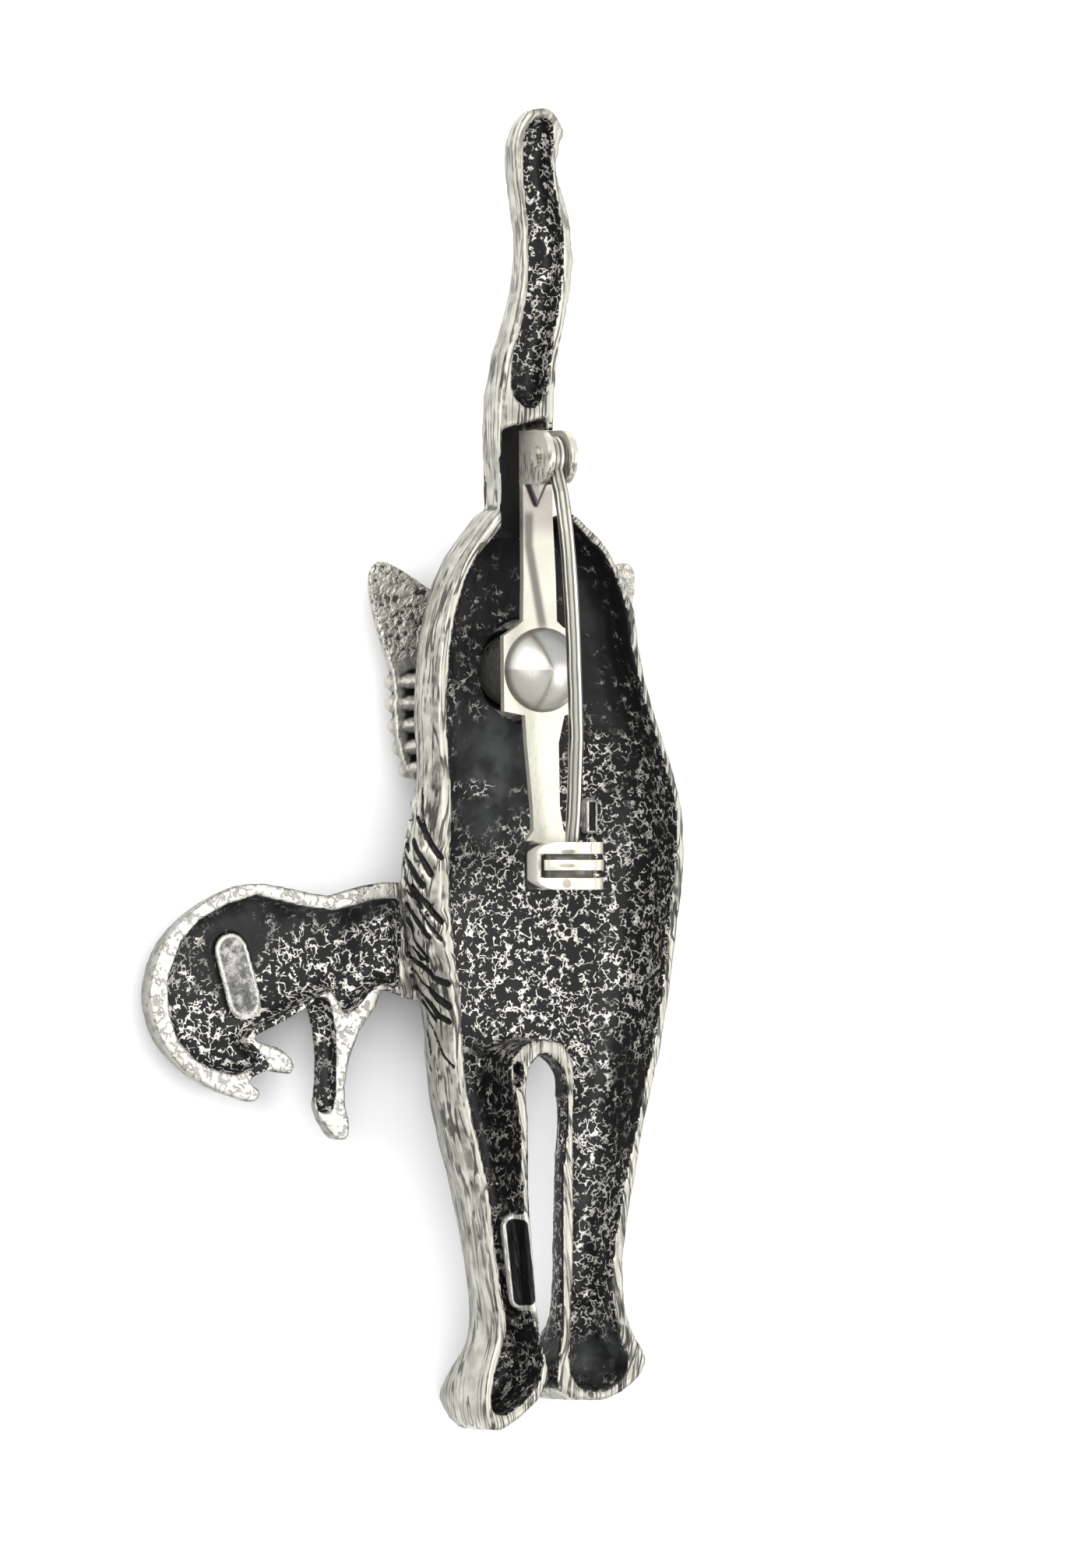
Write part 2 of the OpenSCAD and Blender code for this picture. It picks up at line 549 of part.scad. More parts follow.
module head() color(PEWTER) difference() {
    above_table() translate([head_x, 0, -head_back]) union() {
        relief(ring_refined(head_ring(), 2), 0, head_depth, 6, 0.5, 0.25);
        head_side(-1);
        head_side(1);
        ridges(MIDDLE_RIDGES);
        ridges(CHIN, 14);
        translate([bar_x - head_x, 0, -post_foot])
            cylinder(r = post_r, h = post_foot + head_back + under_bar - gap, $fn = 40);
    }
    translate([bar_x, 0, -head_back + bore_floor]) cylinder(r = shank_r + fit, h = far, $fn = 64);
}

// Pin back
// Left and right edges of the sheet along the bar: y, left x, right x
BAR = [
    [14.4, -0.79, 1.18], [9.2, -0.75, 1.22], [5.6, -0.72, 1.42], [2.95, -0.76, 1.5], [2.6, -1.2, 1.9],
    [2.05, -2.05, 3.0], [-2.5, -2.0, 3.05], [-2.75, -0.62, 2.0], [-4.4, -0.5, 1.62], [-8.3, -0.1, 1.7],
    [-9.7, -0.05, 1.95], [-10.3, -0.5, 2.6], [-10.8, -0.95, 2.9], [-11.2, -0.5, 2.9], [-13.25, -0.35, 2.6],
];
module bar_outline() polygon(concat([for (r = BAR) [r[1], r[0]]],
    [for (i = [len(BAR) - 1:-1:0]) [BAR[i][2], BAR[i][0]]]));
// A cheek of the hinge: a square foot with a round top about the hinge pin
cheek_r = 1.62;
cheek_t = 0.45;
cheeks_left = BAR[0][1];
cheeks_right = BAR[0][2];
module cheek(x) translate([x, 0, 0]) rotate([90, 0, 90]) linear_extrude(cheek_t) difference() {
    union() {
        translate([hinge_y, hinge_z]) circle(r = cheek_r);
        translate([hinge_y - cheek_r, under_bar]) square([2 * cheek_r, hinge_z - under_bar]);
    }
    translate([hinge_y, hinge_z]) circle(r = hinge_r + 0.01);
}
// The pointed stop at the foot of the hinge, sunk a little into the bar
STOP = [[-0.5, 11.3], [0.75, 11.3], [0.05, 9.9]];
stop_h = 0.35;
stop_sunk = 0.05;

module along_catch(y) translate([catch_x, y, catch_z]) rotate([90, 0, 0]) children();
// A wedge of a disc about the catch's middle line, from one angle to another
sector_r = 4;
sector_steps = 12;
module sector(from, to, h) linear_extrude(h) polygon(concat([[0, 0]],
    [for (i = [0:sector_steps]) let (a = from + (to - from) * i / sector_steps)
        sector_r * [cos(a), sin(a)]]));
// Cuts that run past both ends of the shell start this far before it
run_out = 1;
long_cut = catch_len + 2 * run_out;
slot_y = catch_y - (catch_len - slot_w) / 2;
// Angles about the middle line: the shell's mouth, and the slot that the lever runs in
MOUTH = [-38, 20];
LEVER_SLOT = [-50, 160];
// Radius of the shell's rounded corners away from the mouth, seen from above
catch_corner = 0.9;
module catch_plan() {
    left = catch_x - catch_r;
    for (y = [catch_y - catch_corner, catch_y - catch_len + catch_corner])
        translate([left + catch_corner, y, under_bar - 1]) cylinder(r = catch_corner, h = 2 * catch_r + 2);
    translate([left, catch_y - catch_len + catch_corner, under_bar - 1])
        cube([catch_corner, catch_len - 2 * catch_corner, 2 * catch_r + 2]);
    translate([left + catch_corner, catch_y - catch_len, under_bar - 1])
        cube([2 * catch_r, catch_len, 2 * catch_r + 2]);
}
module catch_shell() difference() {
    intersection() {
        along_catch(catch_y) cylinder(r = catch_r, h = catch_len);
        catch_plan();
    }
    along_catch(catch_y + run_out) sector(MOUTH[0], MOUTH[1], long_cut);
    along_catch(slot_y) sector(LEVER_SLOT[0], LEVER_SLOT[1], slot_w);
}
module pin_bar() color(NICKEL) difference() {
    union() {
        translate([0, 0, under_bar]) linear_extrude(bar_t) bar_outline();
        cheek(cheeks_left);
        cheek(cheeks_right - cheek_t);
        translate([0, 0, bar_z - stop_sunk]) linear_extrude(stop_h) polygon(STOP);
        catch_shell();
    }
    translate([bar_x, 0, -far / 2]) cylinder(r = shank_r + fit, h = far);
    along_catch(catch_y + run_out) cylinder(r = catch_r - catch_t, h = long_cut);
}

// Gap between the shank's end and the head, and the shank's share inside the dome
shank_gap = 0.6;
shank_up = 0.3;
module bar_rivet() color(NICKEL) translate([bar_x, 0, bar_z + gap]) union() {
    ball = (dome_r * dome_r + dome_h * dome_h) / (2 * dome_h);
    shank = head_back + bar_z - shank_gap;
    intersection() {
        translate([0, 0, dome_h - ball]) sphere(r = ball);
        cylinder(r = dome_r + 1, h = dome_h + 1);
    }
    translate([0, 0, -shank]) cylinder(r = shank_r, h = shank + shank_up);
}

// The hinge pin's flat heads outside the cheeks
pin_head_r = 0.62;
pin_head_t = 0.2;
pin_len = cheeks_right - cheeks_left + 2 * gap;
module hinge_pin() color(NICKEL) translate([cheeks_left - gap, hinge_y, hinge_z]) rotate([0, 90, 0]) {
    translate([0, 0, -pin_head_t]) cylinder(r = hinge_r, h = pin_len + 1.5 * pin_head_t);
    translate([0, 0, -pin_head_t]) cylinder(r = pin_head_r, h = pin_head_t);
    translate([0, 0, pin_len]) cylinder(r = pin_head_r, h = pin_head_t);
}

// Middle line of the stem's wire from the eye to the point: x, y, z, radius
STEM = [
    [0.2, 11.9, 1.55, stem_r], [0.25, 9.6, 2.45, stem_r], [0.6, 5.2, 2.65, stem_r],
    [1.0, 0.4, 2.3, stem_r], [1.35, -4.2, 1.85, stem_r], [1.5, -9.0, 1.15, stem_r],
    [1.46, -12.0, 0.75, 0.85 * stem_r], [1.44, -13.1, 0.6, 0.12],
];
wire_sides = 12;
eye_w = 0.9;
function place(r) = [r[0], r[1], r[2]];
// A ring of the wire across the line from point a to point b, about the row r
function wire_ring(r, a, b) =
    let (t = (b - a) / norm(b - a), side = cross(t, [0, 0, 1]), u = side / norm(side), v = cross(u, t))
    [for (k = [0:wire_sides - 1]) let (w = 360 * k / wire_sides)
        place(r) + r[3] * (cos(w) * u + sin(w) * v)];
module wire(rows) skin([for (i = [0:len(rows) - 1])
    wire_ring(rows[i], place(rowat(rows, i - 1)), place(rowat(rows, i + 1)))]);
module across_bar(x) translate([x, hinge_y, hinge_z]) rotate([0, 90, 0]) children();
module pin_stem() color(NICKEL) difference() {
    union() {
        across_bar(STEM[0][0] - eye_w / 2) cylinder(r = eye_r, h = eye_w);
        wire(refined(STEM, 3));
    }
    across_bar(-3) cylinder(r = hinge_r + fit, h = 6);
}

// The catch's lever: a drum inside the shell, and a band that stands in the shell's slot
drum_r = catch_r - catch_t - 0.07;
drum_inset = 0.15;
drum_bore = 1.02;
DRUM_MOUTH = [-42, 16];
band_r = catch_r + 0.04;
band_w = 0.64;
band_y = slot_y - 0.36;
band_sunk = 0.2;
BAND_CUT = [148, 377];
module catch_rotor() color(NICKEL) union() {
    difference() {
        along_catch(catch_y - drum_inset) cylinder(r = drum_r, h = catch_len - 2 * drum_inset);
        along_catch(catch_y + run_out) cylinder(r = drum_bore, h = long_cut);
        along_catch(catch_y + run_out) sector(DRUM_MOUTH[0], DRUM_MOUTH[1], long_cut);
    }
    difference() {
        along_catch(band_y) cylinder(r = band_r, h = band_w);
        along_catch(catch_y + run_out) cylinder(r = drum_r - band_sunk, h = long_cut);
        along_catch(catch_y + run_out) sector(BAND_CUT[0], BAND_CUT[1], long_cut);
    }
}

module shown(name) placed() children();
shown("casting") casting();
shown("head") head();
shown("pin_bar") pin_bar();
shown("bar_rivet") bar_rivet();
shown("hinge_pin") hinge_pin();
shown("pin_stem") pin_stem();
shown("catch_rotor") catch_rotor();
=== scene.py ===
# %% [markdown]
# # A cat and kitten brooch, seen from the back
#
# This lesson dresses a finished CAD part. The brooch is a hollow pewter casting that lies
# face down, with a bright nickel pin back riveted into the hollow. The CAD solids give the
# sizes and the places. Blender adds the skin of a real casting: rims that are rounded by
# wear, fur cut into the flank, black patina in the hollows and a bright worm-like texture
# on their floors.

import math

import bmesh
import bpy
import numpy as np
from mathutils import Matrix, Vector, noise
from mathutils.bvhtree import BVHTree


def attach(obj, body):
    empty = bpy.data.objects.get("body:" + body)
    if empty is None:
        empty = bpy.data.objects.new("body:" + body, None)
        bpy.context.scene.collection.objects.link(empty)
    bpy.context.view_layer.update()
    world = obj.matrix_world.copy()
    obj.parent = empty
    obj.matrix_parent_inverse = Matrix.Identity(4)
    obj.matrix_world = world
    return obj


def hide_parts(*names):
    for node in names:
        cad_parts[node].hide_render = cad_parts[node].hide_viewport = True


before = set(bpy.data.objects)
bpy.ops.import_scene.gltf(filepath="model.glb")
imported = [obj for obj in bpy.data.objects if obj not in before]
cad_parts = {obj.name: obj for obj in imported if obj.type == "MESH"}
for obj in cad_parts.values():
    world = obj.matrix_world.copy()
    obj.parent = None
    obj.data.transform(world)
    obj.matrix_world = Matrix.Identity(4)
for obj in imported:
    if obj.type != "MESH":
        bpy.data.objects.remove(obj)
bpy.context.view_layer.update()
scene = bpy.context.scene
MM = 0.001
print("nodes:", sorted(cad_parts))

# %% [markdown]
# ## The camera
#
# The photograph looks down on the brooch from its left, 25 degrees off the vertical, with
# the tail up. We build the camera's matrix from its own three axes: right, up and back.
# A long lens far away keeps parallel edges nearly parallel, as they are in the picture.

# %% Place the camera
TILT = math.radians(25)
VIEW_CENTRE = Vector((6.41, -0.91, 9.4)) * MM
VIEW_HEIGHT = 94.6 * MM
CAMERA_DISTANCE = 1200 * MM
SENSOR = 36.0
# what lies nearer or farther isn't drawn
NEAREST, FARTHEST = 50 * MM, 20000 * MM

camera_data = bpy.data.cameras.new("camera")
camera_data.sensor_width = SENSOR
camera_data.lens = SENSOR * CAMERA_DISTANCE / VIEW_HEIGHT
camera_data.clip_start = NEAREST
camera_data.clip_end = FARTHEST
camera = bpy.data.objects.new("camera", camera_data)
scene.collection.objects.link(camera)
right = Vector((math.cos(TILT), 0, math.sin(TILT)))
up = Vector((0, 1, 0))
back = right.cross(up)
camera.matrix_world = (Matrix.Translation(VIEW_CENTRE + back * CAMERA_DISTANCE)
                       @ Matrix((right, up, back)).transposed().to_4x4())
scene.camera = camera
print("lens:", round(camera_data.lens), "mm")

# %% [markdown]
# ## Light and floor
#
# Metal shows what stands round it, so the light is built as a small studio: one big soft
# box at the upper left, a weaker one at the right, and a pale sky. The floor is a plain
# white sheet. The Standard view transform keeps that white clean.

# %% Lay the floor
# metres from the floor's middle to its edge
FLOOR_REACH = 3
WHITE_SHEET = (0.955, 0.96, 0.965)
SHEET_ROUGHNESS = 0.9

scene.view_settings.view_transform = "Standard"

def plain_material(name, colour, roughness):
    material = bpy.data.materials.new(name)
    material.use_nodes = True
    shader = material.node_tree.nodes["Principled BSDF"]
    shader.inputs["Base Color"].default_value = (*colour, 1)
    shader.inputs["Roughness"].default_value = roughness
    return material

def new_piece(name, mesh):
    piece = bpy.data.objects.new(name, mesh)
    scene.collection.objects.link(piece)
    return piece

shape = bmesh.new()
bmesh.ops.create_grid(shape, x_segments=1, y_segments=1, size=FLOOR_REACH)
floor_mesh = bpy.data.meshes.new("floor")
shape.to_mesh(floor_mesh)
shape.free()
floor = new_piece("floor", floor_mesh)
floor_mesh.materials.append(plain_material("white_sheet", WHITE_SHEET, SHEET_ROUGHNESS))
print("floor:", round(floor.dimensions.x, 1), "m wide")

# %% Hang the lights
SKY_AT_HORIZON, SKY_OVERHEAD = 0.65, 0.95
# name, place and side in metres, and power in watts
SOFT_BOXES = [("key", (-0.34, 0.22, 0.60), 0.80, 6.0),
              ("fill", (0.45, -0.10, 0.45), 0.45, 2.0)]

world = bpy.data.worlds.new("studio")
world.use_nodes = True
net = world.node_tree
direction = net.nodes.new("ShaderNodeTexCoord").outputs["Generated"]
height = net.nodes.new("ShaderNodeSeparateXYZ")
sky = net.nodes.new("ShaderNodeMapRange")
sky.inputs["To Min"].default_value = SKY_AT_HORIZON
sky.inputs["To Max"].default_value = SKY_OVERHEAD
net.links.new(direction, height.inputs[0])
net.links.new(height.outputs["Z"], sky.inputs["Value"])
net.nodes["Background"].inputs["Color"].default_value = (1, 1, 1, 1)
net.links.new(sky.outputs["Result"], net.nodes["Background"].inputs["Strength"])
scene.world = world

def soft_box(name, place, size, power):
    """A square area light that looks at the middle of the brooch."""
    light = bpy.data.lights.new(name, "AREA")
    light.shape = "SQUARE"
    light.size = size
    light.energy = power
    lamp = bpy.data.objects.new(name, light)
    scene.collection.objects.link(lamp)
    lamp.location = place
    lamp.rotation_mode = "QUATERNION"
    lamp.rotation_quaternion = (-Vector(place)).to_track_quat("-Z", "Y")

for box in SOFT_BOXES:
    soft_box(*box)
print("soft boxes:", len(SOFT_BOXES))

# %% [markdown]
# ## A skin for the casting
#
# A CAD solid has flat facets and knife-sharp edges. A real casting has neither. We copy
# the solid, weld its loose triangles, and lay an even voxel skin over it. The skin has the
# same small quads everywhere, so it can be rounded and worked like soft wax. A thin wall
# beside the hinge notch, which the solid leaves open, is sunk in before the skin is laid.

# %% Lay an even skin over a solid
WELD_GAP = 0.0001 * MM
CAT_VOXEL, HEAD_VOXEL = 0.165 * MM, 0.13 * MM
SOFTENING_ROUNDS = 2
SOFTENING = 0.5
# lowest and highest corner, in millimetres, of the thin wall right of the notch's end
NOTCH_WALL = ((7.38, 20.45, 5.4), (7.78, 21.3, 9.3))

def finished_mesh(piece):
    """The mesh that a piece's modifiers make, as a new mesh without modifiers."""
    graph = bpy.context.evaluated_depsgraph_get()
    return bpy.data.meshes.new_from_object(piece.evaluated_get(graph))

def bake_modifiers(piece):
    bpy.context.view_layer.update()
    piece.data = finished_mesh(piece)
    piece.modifiers.clear()
    piece.data.polygons.foreach_set("use_smooth", [True] * len(piece.data.polygons))

def add_block(shape, low, high):
    """Sinks a block into a shape; the skin that is laid over both makes them one."""
    low, high = Vector(low) * MM, Vector(high) * MM
    place = Matrix.Translation((low + high) / 2) @ Matrix.Diagonal((*(high - low), 1))
    bmesh.ops.create_cube(shape, size=1, matrix=place)

def waxen_skin(name, node, voxel, blocks=()):
    """A rounded copy of a CAD solid in even quads."""
    shape = bmesh.new()
    shape.from_mesh(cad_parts[node].data)
    bmesh.ops.remove_doubles(shape, verts=shape.verts, dist=WELD_GAP)
    for block in blocks:
        add_block(shape, *block)
    mesh = bpy.data.meshes.new(name)
    shape.to_mesh(mesh)
    shape.free()
    piece = new_piece(name, mesh)
    remesh = piece.modifiers.new("skin", "REMESH")
    remesh.mode = "VOXEL"
    remesh.voxel_size = voxel
    soften = piece.modifiers.new("soften", "SMOOTH")
    soften.factor = SOFTENING
    soften.iterations = SOFTENING_ROUNDS
    bake_modifiers(piece)
    piece.data.materials.clear()
    print(name, "has", len(piece.data.polygons), "quads")
    return piece

cat = waxen_skin("cat_body", "casting", CAT_VOXEL, [NOTCH_WALL])
head = waxen_skin("cat_head", "head", HEAD_VOXEL)

# %% [markdown]
# Working such a skin point by point would be slow in plain Python. So we read its points
# and normals as arrays, change them all at once, and write them back.

# %% Read and write a mesh as arrays
def points_of(mesh):
    flat = np.empty(len(mesh.vertices) * 3, np.float32)
    mesh.vertices.foreach_get("co", flat)
    return flat.reshape(-1, 3).astype(float)

def normals_of(mesh):
    flat = np.empty(len(mesh.vertices) * 3, np.float32)
    mesh.vertex_normals.foreach_get("vector", flat)
    return flat.reshape(-1, 3).astype(float)

def set_points(mesh, points):
    mesh.vertices.foreach_set("co", points.astype(np.float32).ravel())
    mesh.update()

def set_layer(mesh, name, values):
    """Stores one number for each vertex, which a material can read by name."""
    layer = mesh.attributes.new(name, "FLOAT", "POINT")
    layer.data.foreach_set("value", values.astype(np.float32))

def edges_of(mesh):
    flat = np.empty(len(mesh.edges) * 2, np.int32)
    mesh.edges.foreach_get("vertices", flat)
    return flat.reshape(-1, 2).T

def evened(mesh, values, rounds):
    """Averages a layer, or the points, with their neighbours along the mesh's edges."""
    a, b = edges_of(mesh)
    n = len(mesh.vertices)
    count = np.bincount(a, minlength=n) + np.bincount(b, minlength=n)
    columns = values.reshape(n, -1).astype(float).T
    for _ in range(rounds):
        columns = [0.5 * c + 0.5 * (np.bincount(a, c[b], n) + np.bincount(b, c[a], n)) / count
                   for c in columns]
    return np.array(columns).T.reshape(values.shape)

# %% [markdown]
# ## Cutting the fur
#
# The flank has long fur locks with dark cuts between them. Each cut is written down as the
# picture shows it, in pixels, and a ray from the camera finds where it lies on the metal.
# Then the skin is pressed in along that path. The same path also fills a layer named cut,
# so that the black patina settles exactly where the skin is pressed in.

# %% Find a pixel on the metal
PICTURE = (1370, 2013)
PIXEL = VIEW_HEIGHT / PICTURE[1]

def tree_of(piece):
    return BVHTree.FromObject(piece, bpy.context.evaluated_depsgraph_get())

def on_metal(tree, px, py, sunk=0.0):
    """Where the ray through a pixel meets the solid, or that far under it, or None."""
    aim = (VIEW_CENTRE + right * ((px - PICTURE[0] / 2) * PIXEL)
           + up * ((PICTURE[1] / 2 - py) * PIXEL))
    eye = camera.matrix_world.translation
    hit, normal = tree.ray_cast(eye, (aim - eye).normalized())[:2]
    return hit - normal * sunk if hit else None

cat_tree = tree_of(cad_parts["casting"])
print("a pixel is", round(PIXEL / MM, 3), "mm")

# %% List the cuts
# width in pixels, then the cut's points in the picture
FUR_CUTS = [
    (2.6, (542, 1006), (542, 1030), (542, 1045), (545, 1060)),
    (4.5, (545, 1060), (548, 1072), (553, 1083), (559, 1092), (566, 1101)),
    (3.2, (535, 1048), (539, 1058), (543, 1068), (547, 1077)),
    (2.2, (527, 1037), (528, 1046), (530, 1056)),
    (3.0, (521, 1068), (523, 1082), (524, 1092)),
    (5.2, (531, 1080), (535, 1090), (540, 1099), (548, 1113), (553, 1122)),
    (3.0, (519, 1090), (521, 1099), (525, 1109)),
    (5.2, (525, 1109), (530, 1119), (536, 1129), (543, 1137)),
    (3.2, (517, 1108), (519, 1122), (523, 1134), (531, 1148), (538, 1162), (549, 1175)),
    (4.8, (529, 1138), (536, 1147), (548, 1161), (557, 1173), (566, 1183)),
    (3.0, (522, 1144), (531, 1157), (537, 1168), (545, 1181), (556, 1195), (566, 1206)),
    (4.0, (521, 1160), (527, 1172), (535, 1182), (543, 1197), (551, 1204)),
    (3.6, (523, 1178), (529, 1191), (531, 1205), (537, 1216), (548, 1229)),
    (3.0, (524, 1208), (530, 1217), (540, 1229), (549, 1234)),
    (5.0, (526, 1224), (533, 1234), (541, 1239), (551, 1250), (562, 1259), (575, 1263)),
    (3.0, (529, 1243), (535, 1250), (542, 1262), (552, 1270)),
    (5.6, (552, 1272), (558, 1278), (566, 1284), (576, 1292)),
    (4.4, (529, 1252), (534, 1266), (543, 1279), (553, 1292), (562, 1303), (577, 1312)),
    (3.8, (541, 1285), (549, 1295), (560, 1310)),
    (2.8, (547, 1303), (551, 1312), (556, 1322)),
    (3.2, (547, 1321), (550, 1338), (553, 1352)),
    (2.6, (556, 1322), (562, 1338), (567, 1352), (575, 1363), (582, 1370)),
    (2.4, (546, 1345), (550, 1362), (553, 1374)),
]
print("fur cuts:", len(FUR_CUTS))

# %% Press the cuts into the skin
CUT_DEPTH = 0.22 * MM
# how wide a cut spreads beside its listed width, where it is pressed and where it is painted
PRESSED, PAINTED = 0.65, 1.0
# only the points this near to a cut are measured
CUT_REACH = 1 * MM

def near_path(points, path, width):
    """How close each point lies to a path of 3-D points: 1 on it, falling to 0 beside it."""
    closeness = np.zeros(len(points))
    for start, end in zip(path, path[1:]):
        along = end - start
        t = np.clip((points - start) @ along / (along @ along), 0, 1)
        gap = np.linalg.norm(points - start - t[:, None] * along, axis=1)
        closeness = np.maximum(closeness, np.exp(-(gap / width) ** 2))
    return closeness

def cut_layer(points, spread, sunk=0.0):
    """1 on a cut's path and 0 beside it, for each point."""
    layer = np.zeros(len(points))
    for width, *pixels in FUR_CUTS:
        hits = [on_metal(cat_tree, px, py, sunk) for px, py in pixels]
        path = [np.array(hit) for hit in hits if hit is not None]
        low, high = np.min(path, 0) - CUT_REACH, np.max(path, 0) + CUT_REACH
        near = np.nonzero(np.all((points > low) & (points < high), axis=1))[0]
        closeness = near_path(points[near], path, spread * width * PIXEL)
        layer[near] = np.maximum(layer[near], closeness)
    return layer

skin_points = points_of(cat.data)
cuts = cut_layer(skin_points, PRESSED)
skin_points -= normals_of(cat.data) * (CUT_DEPTH * cuts)[:, None]
print("pressed points:", int((cuts > 0.5).sum()))

# %% [markdown]
# A cast surface is never quite flat. Two octaves of noise, no more than a few hundredths of
# a millimetre high, make the light wander over it.

# %% Lumps of the casting
# width and height of the lumps
LUMPS = [(1.3 * MM, 0.05 * MM), (0.5 * MM, 0.025 * MM)]

def lumps(points, width, height):
    return np.array([noise.noise(Vector(p / width)) for p in points]) * height

rise = sum(lumps(skin_points, *size) for size in LUMPS)
skin_points += normals_of(cat.data) * rise[:, None]
skin_points[:, 2] = np.maximum(skin_points[:, 2], 0)
set_points(cat.data, skin_points)
print("highest lump:", round(rise.max() / MM, 3), "mm")

# %% [markdown]
# The picture hides the cat's front, which lies on the table, and its right outer walls.
# They hold no fine detail, so their faces are merged. That keeps the mesh light where
# nothing would be lost.

# %% Thin out the hidden side
# a vertex is hidden when its normal leans this far, or farther, away from the camera
HIDDEN = -0.05
KEPT_SHARE = 0.59

def thin_out(piece, hidden, share):
    group = piece.vertex_groups.new(name="hidden")
    group.add([int(i) for i in np.nonzero(hidden)[0]], 1.0, "REPLACE")
    decimate = piece.modifiers.new("thin", "DECIMATE")
    decimate.vertex_group = "hidden"
    decimate.ratio = share
    bake_modifiers(piece)
    piece.vertex_groups.clear()
    print(piece.name, "has", sum(len(p.vertices) - 2 for p in piece.data.polygons), "triangles")

thin_out(cat, normals_of(cat.data) @ np.array(back) < HIDDEN, KEPT_SHARE)

# %% [markdown]
# ## Where the black stays
#
# Pewter is dipped in a black patina and then rubbed bright. The black stays where the cloth
# can't reach: in the hollows. So we ask each vertex whether it lies in a hollow. It does if
# level rays in eight directions nearly all hit metal. A rim or an outer wall sees out.

# %% Find the hollows
# eight headings, turned by 10 degrees so that none runs along the brooch
HEADINGS = np.radians(np.arange(0, 360, 45) + 10)
RAYS = [Vector((math.cos(heading), math.sin(heading), 0)) for heading in HEADINGS]
RAY_REACH = 30 * MM
LIFT = 0.12 * MM
# shares of the rays that hit metal on an open rim and in a hollow
OPEN_SHARE, SHUT_SHARE = 0.6, 0.8

def shut_in(mesh, tree):
    """For each vertex, the share of level rays that hit the solid."""
    share = np.empty(len(mesh.vertices))
    for i, (point, normal) in enumerate(zip(points_of(mesh), normals_of(mesh))):
        start = Vector(point + LIFT * normal)
        share[i] = sum(tree.ray_cast(start, ray, RAY_REACH)[0] is not None for ray in RAYS)
    return share / len(RAYS)

share = shut_in(cat.data, cat_tree)
hollow = np.clip((share - OPEN_SHARE) / (SHUT_SHARE - OPEN_SHARE), 0, 1)
print("vertices in the hollows:", int((hollow > 0.5).sum()))

# %% [markdown]
# The rays misjudge a few places. The notch behind the hinge is black although it is open at
# its end. The raised plates and the small lug are bright although they stand in a hollow.
# We set those one by one, and keep how far out each vertex lies on a plate as a layer.

# %% Places that the rays misjudge
# lowest and highest corner of the notch behind the hinge, and x of the wall at its right
NOTCH = ((4.15, 14.0, 6.2), (11.6, 21.2, 9.30))
NOTCH_RIGHT = 7.3
# x of a normal, beyond which a wall faces left or right and so lies outside the notch
LEANS_LEFT, LEANS_RIGHT = -0.2, 0.3
# both ends of the middle line, the radius, and the height above which a plate is meant
LEG_PLATE = ((5.61, -27.625), (6.11, -31.925), 0.78, 7.9)
KITTEN_PLATE = ((-10.87, -10.945), (-10.02, -13.955), 1.15, 3.25)
LUG = ((12.18, -2.2), (12.18, -3.55), 0.50, 4.8)
# the kitten's muzzle and the edge of its belly are as rough as the floor
WORMY_EDGES = [((-10.5, -17.2), (-9.9, -17.8), 0.75, 3.0),
               ((-9.6, -15.6), (-6.3, -14.2), 0.50, 3.0)]
# how far out, in radii, the layer of the plates ends
PLATE_SKIRT = 1.6
# the paint of a cut follows a path at this depth, near the bottom of the pressed cut
PAINT_DEPTH = 0.6 * CUT_DEPTH
OFF_THE_PLATE = 9.0

def inside(points, low, high):
    """True for the points in a box given in millimetres."""
    return np.all((points > np.array(low) * MM) & (points < np.array(high) * MM), axis=1)

def across_plate(points, a, b, radius, low):
    """How far out a point lies on a raised plate: 0 on its middle line, 1 at its edge."""
    a, b = np.array(a) * MM, np.array(b) * MM
    t = np.clip((points[:, :2] - a) @ (b - a) / ((b - a) @ (b - a)), 0, 1)
    gap = np.linalg.norm(points[:, :2] - a - t[:, None] * (b - a), axis=1) / (radius * MM)
    return np.where(points[:, 2] > low * MM, gap, OFF_THE_PLATE)

points, normals = points_of(cat.data), normals_of(cat.data)
outer_left = normals[:, 0] < LEANS_LEFT
outer_right = (normals[:, 0] > LEANS_RIGHT) & (points[:, 0] > NOTCH_RIGHT * MM)
hollow[inside(points, *NOTCH) & ~outer_left & ~outer_right] = 1
for patch in WORMY_EDGES:
    hollow[across_plate(points, *patch) < 1] = 1
out = np.min([across_plate(points, *plate) for plate in (LEG_PLATE, KITTEN_PLATE, LUG)], axis=0)
hollow[out < 1] = 0
hollow = evened(cat.data, hollow, 1)
set_layer(cat.data, "hollow", hollow)
set_layer(cat.data, "plate", np.clip(PLATE_SKIRT - out, 0, 1))
set_layer(cat.data, "cut", cut_layer(points, PAINTED, PAINT_DEPTH))
print("vertices in the hollows now:", int((hollow > 0.5).sum()))

# %% [markdown]
# The fur runs along the cat's outline, and the outline bends. So another layer says how far
# each vertex lies beside the mother's left outline, measured by rays that come in level from
# the left. A pattern stretched over that number and y bends with the cat.

# %% Follow the outline
# where y is measured, the height above the kitten, and where the rays start, in millimetres
RULER = np.arange(-41.0, 41.0, 0.5)
OVER_KITTEN = 8.6
FAR_LEFT = -30

def left_edge(tree, y):
    hit = tree.ray_cast(Vector((FAR_LEFT, y, OVER_KITTEN)) * MM, Vector((1, 0, 0)))[0]
    return hit.x if hit else None

found = [(y, left_edge(cat_tree, y)) for y in RULER]
edge_y, edge_x = np.array([(y * MM, x) for y, x in found if x is not None]).T
set_layer(cat.data, "flow", points[:, 0] - np.interp(points[:, 1], edge_y, edge_x))
set_layer(cat.data, "facing", normals[:, 2])
print("outline found at", len(edge_y), "places")

